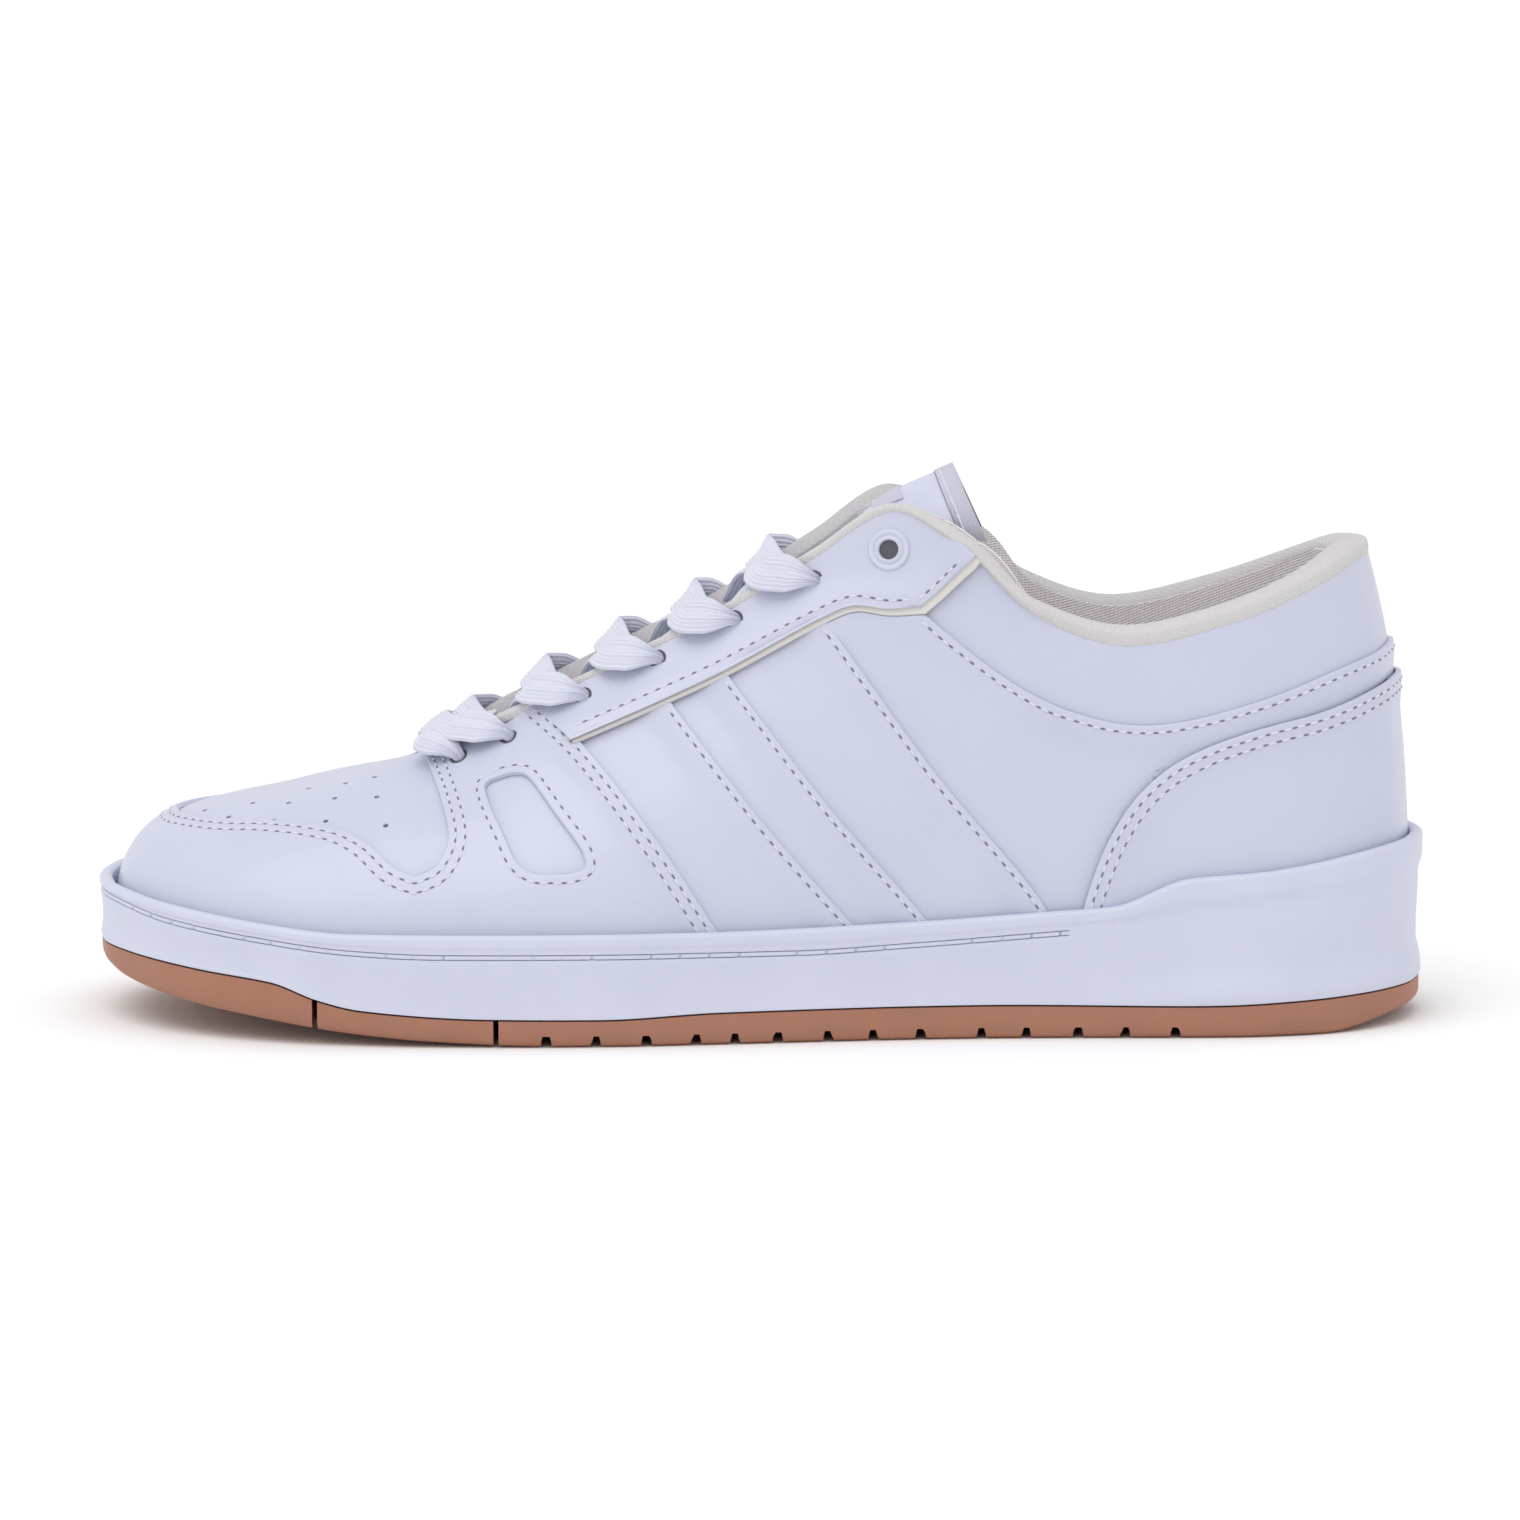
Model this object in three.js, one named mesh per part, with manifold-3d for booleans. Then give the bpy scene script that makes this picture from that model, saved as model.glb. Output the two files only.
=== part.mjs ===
// A low court shoe for the left foot, as its separate pieces.
// Frame: millimetres, toe toward -X, heel toward +X, lateral side toward -Y, +Z up,
// origin on the ground under the middle of the sole.
import * as THREE from "three";
import { mergeVertices } from "three/addons/utils/BufferGeometryUtils.js";
import Module from "manifold-3d";

const wasm = await Module();
wasm.setup();

// ---------------------------------------------------------------- driving dimensions

// Stations run round the shoe from the toe (0) to the heel (18). Each one holds the sole outline
// on the lateral and the medial side, the top edge of the upper (x, half width, height, and the
// y of the middle line), and the shape of the girth curve between them: the length of its upright
// part, and the length and slope in degrees of its top part.
const STATIONS = [
  // lateral x, y   medial x, y   top x, half, z, middle   upright, top length, top slope
  [-150, 4, -150, 4, -112, 0, 48.2, 5, 16, 21, 6],
  [-148, -11, -148.6, 17.5, -111, 0, 48.4, 5, 16, 21, 6],
  [-139.5, -27, -142, 31.5, -108, 0, 49, 5, 17, 20, 5],
  [-122, -41, -127, 43.2, -102, 0, 50.2, 4.6, 19, 20, 3],
  [-99, -49.5, -104, 50.5, -92, 0, 52.8, 4, 22, 23, 0],
  [-76, -52.5, -80, 53, -80, 0, 56, 3.2, 25, 26, 4],
  [-56, -53, -58, 52.3, -69, 8.5, 60.6, 2.6, 27, 24, 22],
  [-34, -52.2, -36, 49, -52, 12.5, 69.3, 2, 30, 26, 32],
  [-11, -49.4, -13, 44.4, -31, 14.5, 80.3, 1.4, 32, 28, 40],
  [13, -45.8, 12, 40.4, -9, 16, 92.2, 1, 34, 30, 47],
  [36, -42.9, 36, 38.7, 12, 17.5, 106.2, 0.6, 36, 32, 54],
  [56, -41.4, 57, 38.8, 30, 20.5, 117.4, 0.3, 38, 34, 62],
  [73, -41, 73, 39.4, 46, 26.5, 110.2, 0, 38, 30, 72],
  [89, -41, 88, 40.3, 61, 30.5, 96.2, 0, 34, 24, 78],
  [104, -40.6, 104, 40.6, 81, 31, 90, 0, 30, 20, 80],
  [121, -37.6, 121, 37.8, 104, 29.5, 95, 0, 30, 20, 80],
  [136, -30, 136, 30.2, 122, 21.5, 102, 0, 36, 18, 78],
  [147, -15.5, 147, 15.6, 131, 9.5, 106.4, 0, 42, 20, 76],
  [150, 0, 150, 0, 133.6, 0, 107, 0, 44, 20, 74],
];
const HEEL = STATIONS.length - 1;
const LOOP = 2 * HEEL;

// Heights along the shoe, as (x, z) points.
const GROUND = [
  [-150, 13.5], [-142, 10.8], [-125, 7.4], [-110, 5.3], [-90, 2.6], [-71, 1], [-44, 0],
  [125, 0], [150, 4],
];
const GUM_TOP = [
  [-150, 17], [-120, 14.7], [-108, 13.4], [-97, 9.7], [-88, 7.8], [-60, 6.1], [-35, 5.9],
  [-8, 7], [50, 7.4], [97, 7], [150, 8.6],
];
const RIM = [
  [-150, 31], [-131, 29], [-110, 26.6], [-90, 25], [-10, 25.2], [36, 26.6], [63, 28.4],
  [78, 29.6], [95, 35.8], [112, 37.1], [150, 41.6],
];
const BED = [
  [-150, 23], [-130, 21.5], [-110, 19.6], [-95, 17], [-80, 14.8], [-60, 13.4], [-30, 13.4],
  [0, 15], [40, 18.5], [80, 21], [150, 22],
];

// Insets from the sole outline, and leather offsets from the upper's reference surface.
const GAP = 0.3;
const UPPER_INSET = 6.1;
const CUP_WALL = 3;
const CUP_FLOOR = 2;
const BOARD = 1.5;
const SOCKLINER = 4;
const SOCKLINER_INSET = 11.5;
const BASE_LEATHER = [0, 1.2];
const OVERLAY = [1.5, 2.7];
const STIFFENER = [-1.1, -0.3];
const LINING = [-2.2, -1.4];
const COLLAR_FOAM = [-5.4, -1.5];
const COLLAR_LINING = [-6.5, -5.7];
const KNIFE = 0.4;

// Seams of the overlays in side view, as (x, z) points, each drawn past the edges of the leather.
const TOE_SEAM = [
  [-165, 46.2], [-135, 45.3], [-129, 43.4], [-119, 43.6], [-110, 44.2], [-101, 44.4],
  [-92, 43.4], [-86, 41], [-80.5, 37], [-76, 35.4], [-71.5, 37.4], [-68.8, 42.5],
  [-70.5, 49], [-74, 56], [-77, 66],
];
const LINE_1 = [[-62, 86], [-52, 72], [-39, 62.4], [-24.4, 45.7], [-10, 25], [5, 0]];
const LINE_2 = [[-19, 71.6], [0, 48], [20, 25.7], [40, 0]];
const LINE_3 = [[-6.3, 77.8], [15, 51], [36.5, 26.5], [56, 0]];
const LINE_4 = [[15.5, 90], [39, 58], [63.4, 28.4], [66, 0]];
const EYESTAY_SEAM = [
  [-39, 62.4], [-19, 71.6], [-6.3, 77.8], [15.5, 90], [22, 92.7], [37, 92.7], [50.5, 105.7],
  [60, 120],
];
const COLLAR_SEAM = [
  [37, 92.7], [44, 86.7], [52.4, 80.7], [60.8, 75.6], [70, 71.9], [77, 69.8], [85.4, 69.1],
  [94.5, 70.1], [105, 72.7], [116, 76.2], [127, 80.2], [139, 83.5], [165, 85],
];
const HEEL_SEAM = [
  [68.5, 0], [71.6, 29], [75.3, 40], [78.8, 47], [83.7, 54], [90.7, 60], [97.8, 63.8],
  [105, 66.5], [112, 68.6], [123.5, 71.2], [135, 75.3], [165, 79],
];
const WINDOW = [
  [-59, 54.2], [-52, 55.8], [-50.5, 54.9], [-38.9, 40.8], [-38.4, 38.1], [-41.3, 36.8],
  [-49.6, 36.5], [-53.1, 38.4], [-60, 50.7], [-60.5, 53.2],
];
const SIDE_REACH = 80;

// Lace holes in side view, from the toe up; the last pair is the ringed eyelet.
const LACE_HOLES = [
  [-66.5, 57.6], [-55.3, 62.8], [-38.2, 71.6], [-21.8, 80.4], [-4.7, 89.7], [12.8, 99.2],
];
const TOP_EYELET = [29.4, 106.6];
const EYELET_RADIUS = 4.6;
const EYELET_BORE = 2.15;
const LACE_WIDTH = 7;
const LACE_THICKNESS = 1.6;

// The tongue's middle line as (x, z), with the radius and the half width of its arch.
const TONGUE = [
  [-76, 53.6, 26, 8], [-52, 65.6, 25, 14], [-31, 76.8, 25, 16], [-9, 89.2, 25, 17],
  [8, 99.8, 25, 16], [12, 102.5, 25, 13], [29, 117, 20, 15.5], [43.4, 123.8, 19.6, 18.4],
];
const TONGUE_SPLIT = 4;
const TONGUE_TOP = TONGUE.length - 1;
const TONGUE_BINDING = 0.14;
const TONGUE_FACE = [-1.2, 0];
const TONGUE_FOAM = [-4.6, -1.5];
const TONGUE_LINING = [-5.8, -4.9];

// ---------------------------------------------------------------- curves and surfaces

// A smooth curve through values at the indices 0, 1, 2... that never overshoots them.
function monotone(values, t) {
  const last = values.length - 1;
  const i = Math.min(Math.max(Math.floor(t), 0), last - 1);
  const u = t - i;
  const step = (k) => values[Math.min(k + 1, last)] - values[Math.min(k, last - 1)];
  const slope = (k) => {
    if (k <= 0 || k >= last) return step(Math.min(Math.max(k, 0), last - 1));
    const before = step(k - 1);
    const after = step(k);
    return before * after <= 0 ? 0 : (2 * before * after) / (before + after);
  };
  const rise = values[i + 1] - values[i];
  const a = slope(i);
  const b = slope(i + 1);
  return values[i] + u * (a + u * (3 * rise - 2 * a - b + u * (a + b - 2 * rise)));
}

// The height at x of a profile given as (x, z) points.
function height(profile, x) {
  const last = profile.length - 1;
  if (x <= profile[0][0]) return profile[0][1];
  if (x >= profile[last][0]) return profile[last][1];
  let i = 0;
  while (profile[i + 1][0] < x) i += 1;
  const slope = (k) => {
    if (k <= 0 || k >= last) return 0;
    const before = (profile[k][1] - profile[k - 1][1]) / (profile[k][0] - profile[k - 1][0]);
    const after = (profile[k + 1][1] - profile[k][1]) / (profile[k + 1][0] - profile[k][0]);
    return before * after <= 0 ? 0 : (2 * before * after) / (before + after);
  };
  const span = profile[i + 1][0] - profile[i][0];
  const u = (x - profile[i][0]) / span;
  const rise = profile[i + 1][1] - profile[i][1];
  const a = slope(i) * span;
  const b = slope(i + 1) * span;
  return profile[i][1] + u * (a + u * (3 * rise - 2 * a - b + u * (a + b - 2 * rise)));
}

// One column of the station table as a closed loop: lateral side out, medial side back.
const MARGIN = 3;
function loopColumn(lateral, medial, mirrored) {
  const at = (k) => {
    const turn = ((k % LOOP) + LOOP) % LOOP;
    if (turn <= HEEL) return STATIONS[turn][lateral] * (mirrored ? -1 : 1);
    return STATIONS[LOOP - turn][medial];
  };
  return Array.from({ length: LOOP + 2 * MARGIN + 1 }, (_, i) => at(i - MARGIN));
}
const COLUMN = {
  x: loopColumn(0, 2, false),
  y: loopColumn(1, 3, false),
  topX: loopColumn(4, 4, false),
  topHalf: loopColumn(5, 5, true),
  topZ: loopColumn(6, 6, false),
  middle: loopColumn(7, 7, false),
  upright: loopColumn(8, 8, false),
  topLength: loopColumn(9, 9, false),
  topSlope: loopColumn(10, 10, false),
};
const column = (name, t) => {
  const turn = ((t % LOOP) + LOOP) % LOOP;
  return monotone(COLUMN[name], turn + MARGIN);
};

// The sole outline at loop position t, moved inward by an inset.
function outline(t, inset = 0) {
  const e = 0.02;
  const dx = column("x", t + e) - column("x", t - e);
  const dy = column("y", t + e) - column("y", t - e);
  const length = Math.hypot(dx, dy);
  return [column("x", t) - (dy / length) * inset, column("y", t) + (dx / length) * inset];
}

// The upper's reference surface: t round the shoe, v from the bed (0) to the top edge (1).
function upper(t, v) {
  const [bx, by] = outline(t, UPPER_INSET);
  const base = new THREE.Vector3(bx, by, height(BED, bx) + 2 * GAP);
  const top = new THREE.Vector3(
    column("topX", t),
    column("middle", t) + column("topHalf", t),
    column("topZ", t),
  );
  const out = new THREE.Vector3(base.x - top.x, base.y - top.y, 0).normalize();
  const slope = THREE.MathUtils.degToRad(column("topSlope", t));
  const length = column("topLength", t);
  const upright = base.clone().add(new THREE.Vector3(0, 0, column("upright", t)));
  const shoulder = top
    .clone()
    .addScaledVector(out, length * Math.cos(slope))
    .add(new THREE.Vector3(0, 0, -length * Math.sin(slope)));
  return new THREE.CubicBezierCurve3(base, upright, shoulder, top).getPoint(v);
}

// ---------------------------------------------------------------- solids

const key = (p) => p.map((c) => c.toFixed(3)).join(" ");

// A closed sheet between two offsets from a grid of points with normals.
function sheet(grid, low, high) {
  const points = [];
  const index = new Map();
  const id = (node) => {
    const name = key(node.p);
    if (!index.has(name)) {
      index.set(name, points.length);
      points.push(node);
    }
    return index.get(name);
  };
  const faces = [];
  for (let i = 0; i + 1 < grid.length; i += 1) {
    for (let j = 0; j + 1 < grid[0].length; j += 1) {
      const [a, b] = [id(grid[i][j]), id(grid[i + 1][j])];
      const [c, d] = [id(grid[i + 1][j + 1]), id(grid[i][j + 1])];
      if (a !== b && b !== c && a !== c) faces.push([a, b, c]);
      if (a !== c && c !== d && a !== d) faces.push([a, c, d]);
    }
  }
  const edges = new Map();
  faces.forEach((f) =>
    f.forEach((a, k) => edges.set(a + "_" + f[(k + 1) % 3], [a, f[(k + 1) % 3]])),
  );
  const n = points.length;
  const all = faces.flatMap(([a, b, c]) => [[a, b, c], [a + n, c + n, b + n]]);
  for (const [a, b] of edges.values()) {
    if (!edges.has(b + "_" + a)) all.push([b, a, a + n], [b, a + n, b + n]);
  }
  const place = (offset) => points.flatMap(({ p, n: m }) => p.map((c, k) => c + m[k] * offset));
  return buildGeometry([...place(high), ...place(low)], all.flat());
}

function buildGeometry(positions, indices) {
  const g = new THREE.BufferGeometry();
  g.setAttribute("position", new THREE.Float32BufferAttribute(positions, 3));
  g.setIndex(indices);
  return g;
}

// A grid of points on a surface, with normals that neighbours across a join share.
function surfaceGrid(surface, us, vs) {
  const grid = us.map((u) => vs.map((v) => ({ p: surface(u, v).toArray(), n: [0, 0, 0] })));
  const sums = new Map();
  const face = (a, b, c) => {
    const e = new THREE.Vector3(...b.p).sub(new THREE.Vector3(...a.p));
    const f = new THREE.Vector3(...c.p).sub(new THREE.Vector3(...a.p));
    const normal = e.cross(f);
    [a, b, c].forEach((node) => {
      const name = key(node.p);
      if (!sums.has(name)) sums.set(name, new THREE.Vector3());
      sums.get(name).add(normal);
    });
  };
  for (let i = 0; i + 1 < us.length; i += 1) {
    for (let j = 0; j + 1 < vs.length; j += 1) {
      face(grid[i][j], grid[i + 1][j], grid[i + 1][j + 1]);
      face(grid[i][j], grid[i + 1][j + 1], grid[i][j + 1]);
    }
  }
  grid.flat().forEach((node) => {
    node.n = sums.get(key(node.p)).clone().normalize().toArray();
  });
  return grid;
}

const steps = (from, to, count) =>
  Array.from({ length: count + 1 }, (_, i) => from + ((to - from) * i) / count);

// A solid of rings, each ring the same number of points round the shoe from toe to toe. The two
// ends are closed by strips between the lateral and the medial half.
function ringSolid(rings) {
  const count = rings[0].length;
  const faces = [];
  const quad = (a, b, c, d) => faces.push(a, b, c, a, c, d);
  for (let r = 0; r + 1 < rings.length; r += 1) {
    for (let i = 0; i < count; i += 1) {
      const j = (i + 1) % count;
      quad(r * count + i, r * count + j, (r + 1) * count + j, (r + 1) * count + i);
    }
  }
  const cap = (start, turned) => {
    for (let i = 0; i < count / 2; i += 1) {
      const [a, b] = [start + i, start + i + 1];
      const [c, d] = [start + ((count - i - 1) % count), start + ((count - i) % count)];
      const strip = i === 0 ? [a, b, c] : [a, b, c, a, c, d];
      if (i === count / 2 - 1) strip.splice(0, 6, a, b, d);
      faces.push(...(turned ? strip : strip.reverse()));
    }
  };
  cap(0, false);
  cap((rings.length - 1) * count, true);
  return buildGeometry(rings.flat(2), faces);
}

const SOLE_LOOP = steps(0, LOOP, 2 * LOOP).slice(0, -1);
const ring = (inset, z) =>
  SOLE_LOOP.map((t) => {
    const [x, y] = outline(t, inset);
    return [x, y, z(x)];
  });

// Boolean cuts.
function solid(geometry) {
  const bare = new THREE.BufferGeometry();
  bare.setAttribute("position", geometry.getAttribute("position"));
  if (geometry.index) bare.setIndex(geometry.index);
  const merged = mergeVertices(bare, 1e-3);
  return new wasm.Manifold(
    new wasm.Mesh({
      numProp: 3,
      vertProperties: new Float32Array(merged.attributes.position.array),
      triVerts: new Uint32Array(merged.index.array),
    }),
  );
}
function geometryOf(body) {
  const { vertProperties, triVerts } = body.getMesh();
  return buildGeometry(Array.from(vertProperties), Array.from(triVerts));
}

// A side-view outline drawn across the shoe from y0 to y1.
function sidePrism(points, y0 = -SIDE_REACH, y1 = SIDE_REACH) {
  const shape = new THREE.Shape(points.map(([x, z]) => new THREE.Vector2(x, z)));
  const g = new THREE.ExtrudeGeometry(shape, { depth: y1 - y0, bevelEnabled: false });
  g.rotateX(Math.PI / 2);
  g.translate(0, y1, 0);
  return solid(g);
}

// A thin slot along a seam.
function knife(points) {
  const offset = (side) =>
    points.map(([x, z], i) => {
      const [x0, z0] = points[Math.max(i - 1, 0)];
      const [x1, z1] = points[Math.min(i + 1, points.length - 1)];
      const length = Math.hypot(x1 - x0, z1 - z0);
      const reach = (side * KNIFE) / 2 / length;
      return [x - (z1 - z0) * reach, z + (x1 - x0) * reach];
    });
  return sidePrism([...offset(-1), ...offset(1).reverse()]);
}

// ---------------------------------------------------------------- the shoe

const shoe = new THREE.Group();
const LEATHER = { color: 0xe6e8f2, roughness: 0.45 };
const TEXTILE = { color: 0xdcd6d2, roughness: 0.95 };
const CUP_RUBBER = { color: 0xe4e8f4, roughness: 0.55 };
const GUM = { color: 0xbc7c5e, roughness: 0.7 };
const FOAM = { color: 0xd8d4c8, roughness: 1 };
const LACE = { color: 0xe8eaf4, roughness: 0.9 };

function add(name, geometry, look) {
  const mesh = new THREE.Mesh(geometry, new THREE.MeshStandardMaterial({ metalness: 0, ...look }));
  mesh.name = name;
  shoe.add(mesh);
}

// Outsole: one gum body cut at the two slits, with channels across the tread.
const SLITS = [-98, -58];
const SLIT_WIDTH = 1.2;
const CHANNELS = [-47, -36, -25, -14, -5.5, 4, 15, 25, 35.5, 49, 59, 70.5, 81, 92];
const CHANNEL_WIDTH = 2;
const CHANNEL_DEPTH = 2.6;
const ground = (x) => height(GROUND, x);
const gumTop = (x) => height(GUM_TOP, x);
const block = (x0, x1, y0, y1, z0, z1) => {
  const g = new THREE.BoxGeometry(x1 - x0, y1 - y0, z1 - z0);
  g.translate((x0 + x1) / 2, (y0 + y1) / 2, (z0 + z1) / 2);
  return solid(g);
};
function outsole() {
  let gum = solid(
    ringSolid([ring(4, ground), ring(1.4, (x) => ground(x) + 1.2), ring(0.5, gumTop)]),
  );
  for (const x of CHANNELS) {
    gum = gum.subtract(
      block(x - CHANNEL_WIDTH / 2, x + CHANNEL_WIDTH / 2, -60, 60, -1, CHANNEL_DEPTH),
    );
  }
  const [toe, ball] = SLITS;
  const half = SLIT_WIDTH / 2;
  const part = (x0, x1) => geometryOf(gum.intersect(block(x0, x1, -60, 60, -1, 30)));
  add("outsole_toe", part(-160, toe - half), GUM);
  add("outsole_forefoot", part(toe + half, ball - half), GUM);
  add("outsole_rear", part(ball + half, 160), GUM);
}
outsole();

// Cupsole: floor, side wall and rim in one rubber moulding, with the foam wedge, the board that
// closes the upper and the loose sockliner stacked in it.
const cupFloor = (x) => gumTop(x) + GAP + CUP_FLOOR;
const bed = (x) => height(BED, x);
const rim = (x) => height(RIM, x);
function soleUnit() {
  add(
    "midsole_cup",
    ringSolid([
      ring(0.5, (x) => gumTop(x) + GAP),
      ring(0, (x) => gumTop(x) + 2),
      ring(0, (x) => rim(x) - 1.2),
      ring(0.9, rim),
      ring(CUP_WALL - 0.5, rim),
      ring(CUP_WALL, (x) => rim(x) - 1),
      ring(CUP_WALL, cupFloor),
    ]),
    CUP_RUBBER,
  );
  const slab = (inset, low, high) => ringSolid([ring(inset, low), ring(inset, high)]);
  const boardLow = (x) => bed(x) - BOARD;
  const inCup = CUP_WALL + 0.6;
  add("midsole_foam", slab(inCup, (x) => cupFloor(x) + 2 * GAP, (x) => boardLow(x) - GAP), FOAM);
  add("lasting_board", slab(inCup, boardLow, bed), FOAM);
  add(
    "sockliner",
    slab(SOCKLINER_INSET, (x) => bed(x) + GAP, (x) => bed(x) + GAP + SOCKLINER),
    TEXTILE,
  );
}
soleUnit();

// Upper: every layer is cut from the same grid, so the layers stay parallel.
const COLUMNS = steps(-HEEL, HEEL, 2 * LOOP);
const ROWS = [0, 0.16, 0.34, 0.5, 0.62, 0.74, 0.86, 0.97, 1];
const skin = surfaceGrid(upper, COLUMNS, ROWS);
const columnOf = (t) => COLUMNS.findIndex((c) => c >= t - 1e-6);
const rowOf = (v) => ROWS.findIndex((r) => r >= v - 1e-6);
const patch = (t0, t1, v0, v1) =>
  skin.slice(columnOf(t0), columnOf(t1) + 1).map((c) => c.slice(rowOf(v0), rowOf(v1) + 1));
const layer = (t0, t1, v0, v1, [low, high]) => sheet(patch(t0, t1, v0, v1), low, high);
const THROAT = 5.5;
const EDGE = 0.97;

const BACK_SEAM = block(120, 165, -KNIFE / 2, KNIFE / 2, 0, 130);
const half = (t0, t1, v0, v1, offsets) =>
  geometryOf(solid(layer(t0, t1, v0, v1, offsets)).subtract(BACK_SEAM));
function baseLeather() {
  add("vamp", layer(-THROAT, THROAT, 0, 1, BASE_LEATHER), LEATHER);
  add("quarter_lateral", half(THROAT + 0.5, HEEL, 0, EDGE, BASE_LEATHER), LEATHER);
  add("quarter_medial", half(-HEEL, -THROAT - 0.5, 0, EDGE, BASE_LEATHER), LEATHER);
}
baseLeather();

// Stiffeners, linings and the collar's foam, inside the leather.
const COLLAR_FROM = 11.5;
const LINING_TOP = 0.62;
const FOAM_LOW = 0.74;
function linings() {
  add("toe_puff", layer(-3, 3, 0, 0.5, STIFFENER), FOAM);
  add("vamp_lining", layer(-THROAT, THROAT, 0, 1, LINING), TEXTILE);
  add("quarter_lining_lateral", half(THROAT + 0.5, HEEL, 0, LINING_TOP, LINING), TEXTILE);
  add("quarter_lining_medial", half(-HEEL, -THROAT - 0.5, 0, LINING_TOP, LINING), TEXTILE);
}
linings();

// A strip that runs round the heel from station t0 on one side to t0 on the other.
function heelStrip(t0, v0, v1, [low, high]) {
  const lateral = patch(t0, HEEL, v0, v1);
  const medial = patch(-HEEL, -t0, v0, v1);
  return sheet([...lateral, ...medial.slice(1)], low, high);
}
add("heel_counter", heelStrip(14.5, 0, 0.5, STIFFENER), FOAM);
add("collar_foam", heelStrip(COLLAR_FROM, FOAM_LOW, EDGE, COLLAR_FOAM), FOAM);
add("collar_lining", heelStrip(COLLAR_FROM, FOAM_LOW, EDGE, COLLAR_LINING), TEXTILE);

// Overlays: the outer skin, slotted along the seams and cut into its panels. The outlines run
// along the middle of the slots.
function overlays() {
  const seams = [TOE_SEAM, LINE_1, LINE_2, LINE_3, LINE_4, EYESTAY_SEAM, COLLAR_SEAM, HEEL_SEAM];
  let skinCut = solid(layer(-HEEL, HEEL, 0, EDGE, OVERLAY));
  for (const seam of seams) skinCut = skinCut.subtract(knife(seam));
  const front = sidePrism([...TOE_SEAM, ...LINE_1, [-165, 0]]).subtract(sidePrism(WINDOW));
  add("mudguard", geometryOf(skinCut.intersect(front)), LEATHER);
  const heel = sidePrism([...HEEL_SEAM, [165, 0]]);
  add("heel_overlay", geometryOf(skinCut.intersect(heel)), LEATHER);
  const collar = sidePrism([...COLLAR_SEAM, [165, 130], [60, 130], ...EYESTAY_SEAM.slice(5).reverse()]);
  add("collar_panel", geometryOf(skinCut.intersect(collar)), LEATHER);
  const sides = { lateral: [-SIDE_REACH, -KNIFE / 2], medial: [KNIFE / 2, SIDE_REACH] };
  const panels = {
    side_panel_front: [...LINE_1.slice(2), ...[...LINE_2].reverse()],
    side_panel_mid: [...LINE_2, ...[...LINE_3].reverse()],
    side_panel_rear: [...LINE_3, ...[...LINE_4].reverse()],
    quarter_overlay: [
      ...[...LINE_4].reverse(), EYESTAY_SEAM[4], ...COLLAR_SEAM, ...[...HEEL_SEAM].reverse(),
    ],
    eyestay: [...LINE_1.slice(0, 2), ...EYESTAY_SEAM, [40, 140], [-62, 140]],
  };
  for (const [side, [y0, y1]] of Object.entries(sides)) {
    for (const [name, points] of Object.entries(panels)) {
      add(name + "_" + side, geometryOf(skinCut.intersect(sidePrism(points, y0, y1))), LEATHER);
    }
  }
}
overlays();

// Tongue: an arched, padded strip. The part below the top lace row is held by the laces, and the
// flap above it is free to swing.
function tongue(u, w) {
  const column4 = (k) => TONGUE.map((row) => row[k]);
  const [x, z, radius, half] = [0, 1, 2, 3].map((k) => monotone(column4(k), u));
  const dx = monotone(column4(0), u + 0.02) - x;
  const dz = monotone(column4(1), u + 0.02) - z;
  const length = Math.hypot(dx, dz);
  const angle = Math.asin(half / radius) * w;
  const drop = radius * (1 - Math.cos(angle));
  return new THREE.Vector3(x + (dz / length) * drop, radius * Math.sin(angle), z - (dx / length) * drop);
}
const tonguePatch = (u0, u1, rows, w0 = -1, w1 = 1, across = 6) =>
  surfaceGrid(tongue, steps(u0, u1, rows), steps(w0, w1, across));
function tongueParts() {
  const lower = tonguePatch(0, TONGUE_SPLIT, 8);
  add("tongue_lower", sheet(lower, ...TONGUE_FACE), LEATHER);
  add("tongue_lower_foam", sheet(lower, ...TONGUE_FOAM), FOAM);
  add("tongue_lower_lining", sheet(lower, ...TONGUE_LINING), TEXTILE);
  const end = TONGUE_TOP - TONGUE_BINDING;
  const flap = tonguePatch(TONGUE_SPLIT + 1, end - 0.02, 4);
  add("tongue_flap", sheet(flap, ...TONGUE_FACE), LEATHER);
  add("tongue_flap_foam", sheet(flap, ...TONGUE_FOAM), FOAM);
  add("tongue_flap_lining", sheet(flap, ...TONGUE_LINING), TEXTILE);
  const strip = tonguePatch(end + 0.02, TONGUE_TOP, 1);
  add("tongue_binding", sheet(strip, TONGUE_LINING[0], 0.3), TEXTILE);
  const label = tonguePatch(TONGUE_SPLIT + 1.95, TONGUE_TOP - 0.35, 2, -0.45, 0.45, 4);
  add("tongue_label", sheet(label, GAP, 1), TEXTILE);
}
tongueParts();

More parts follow.
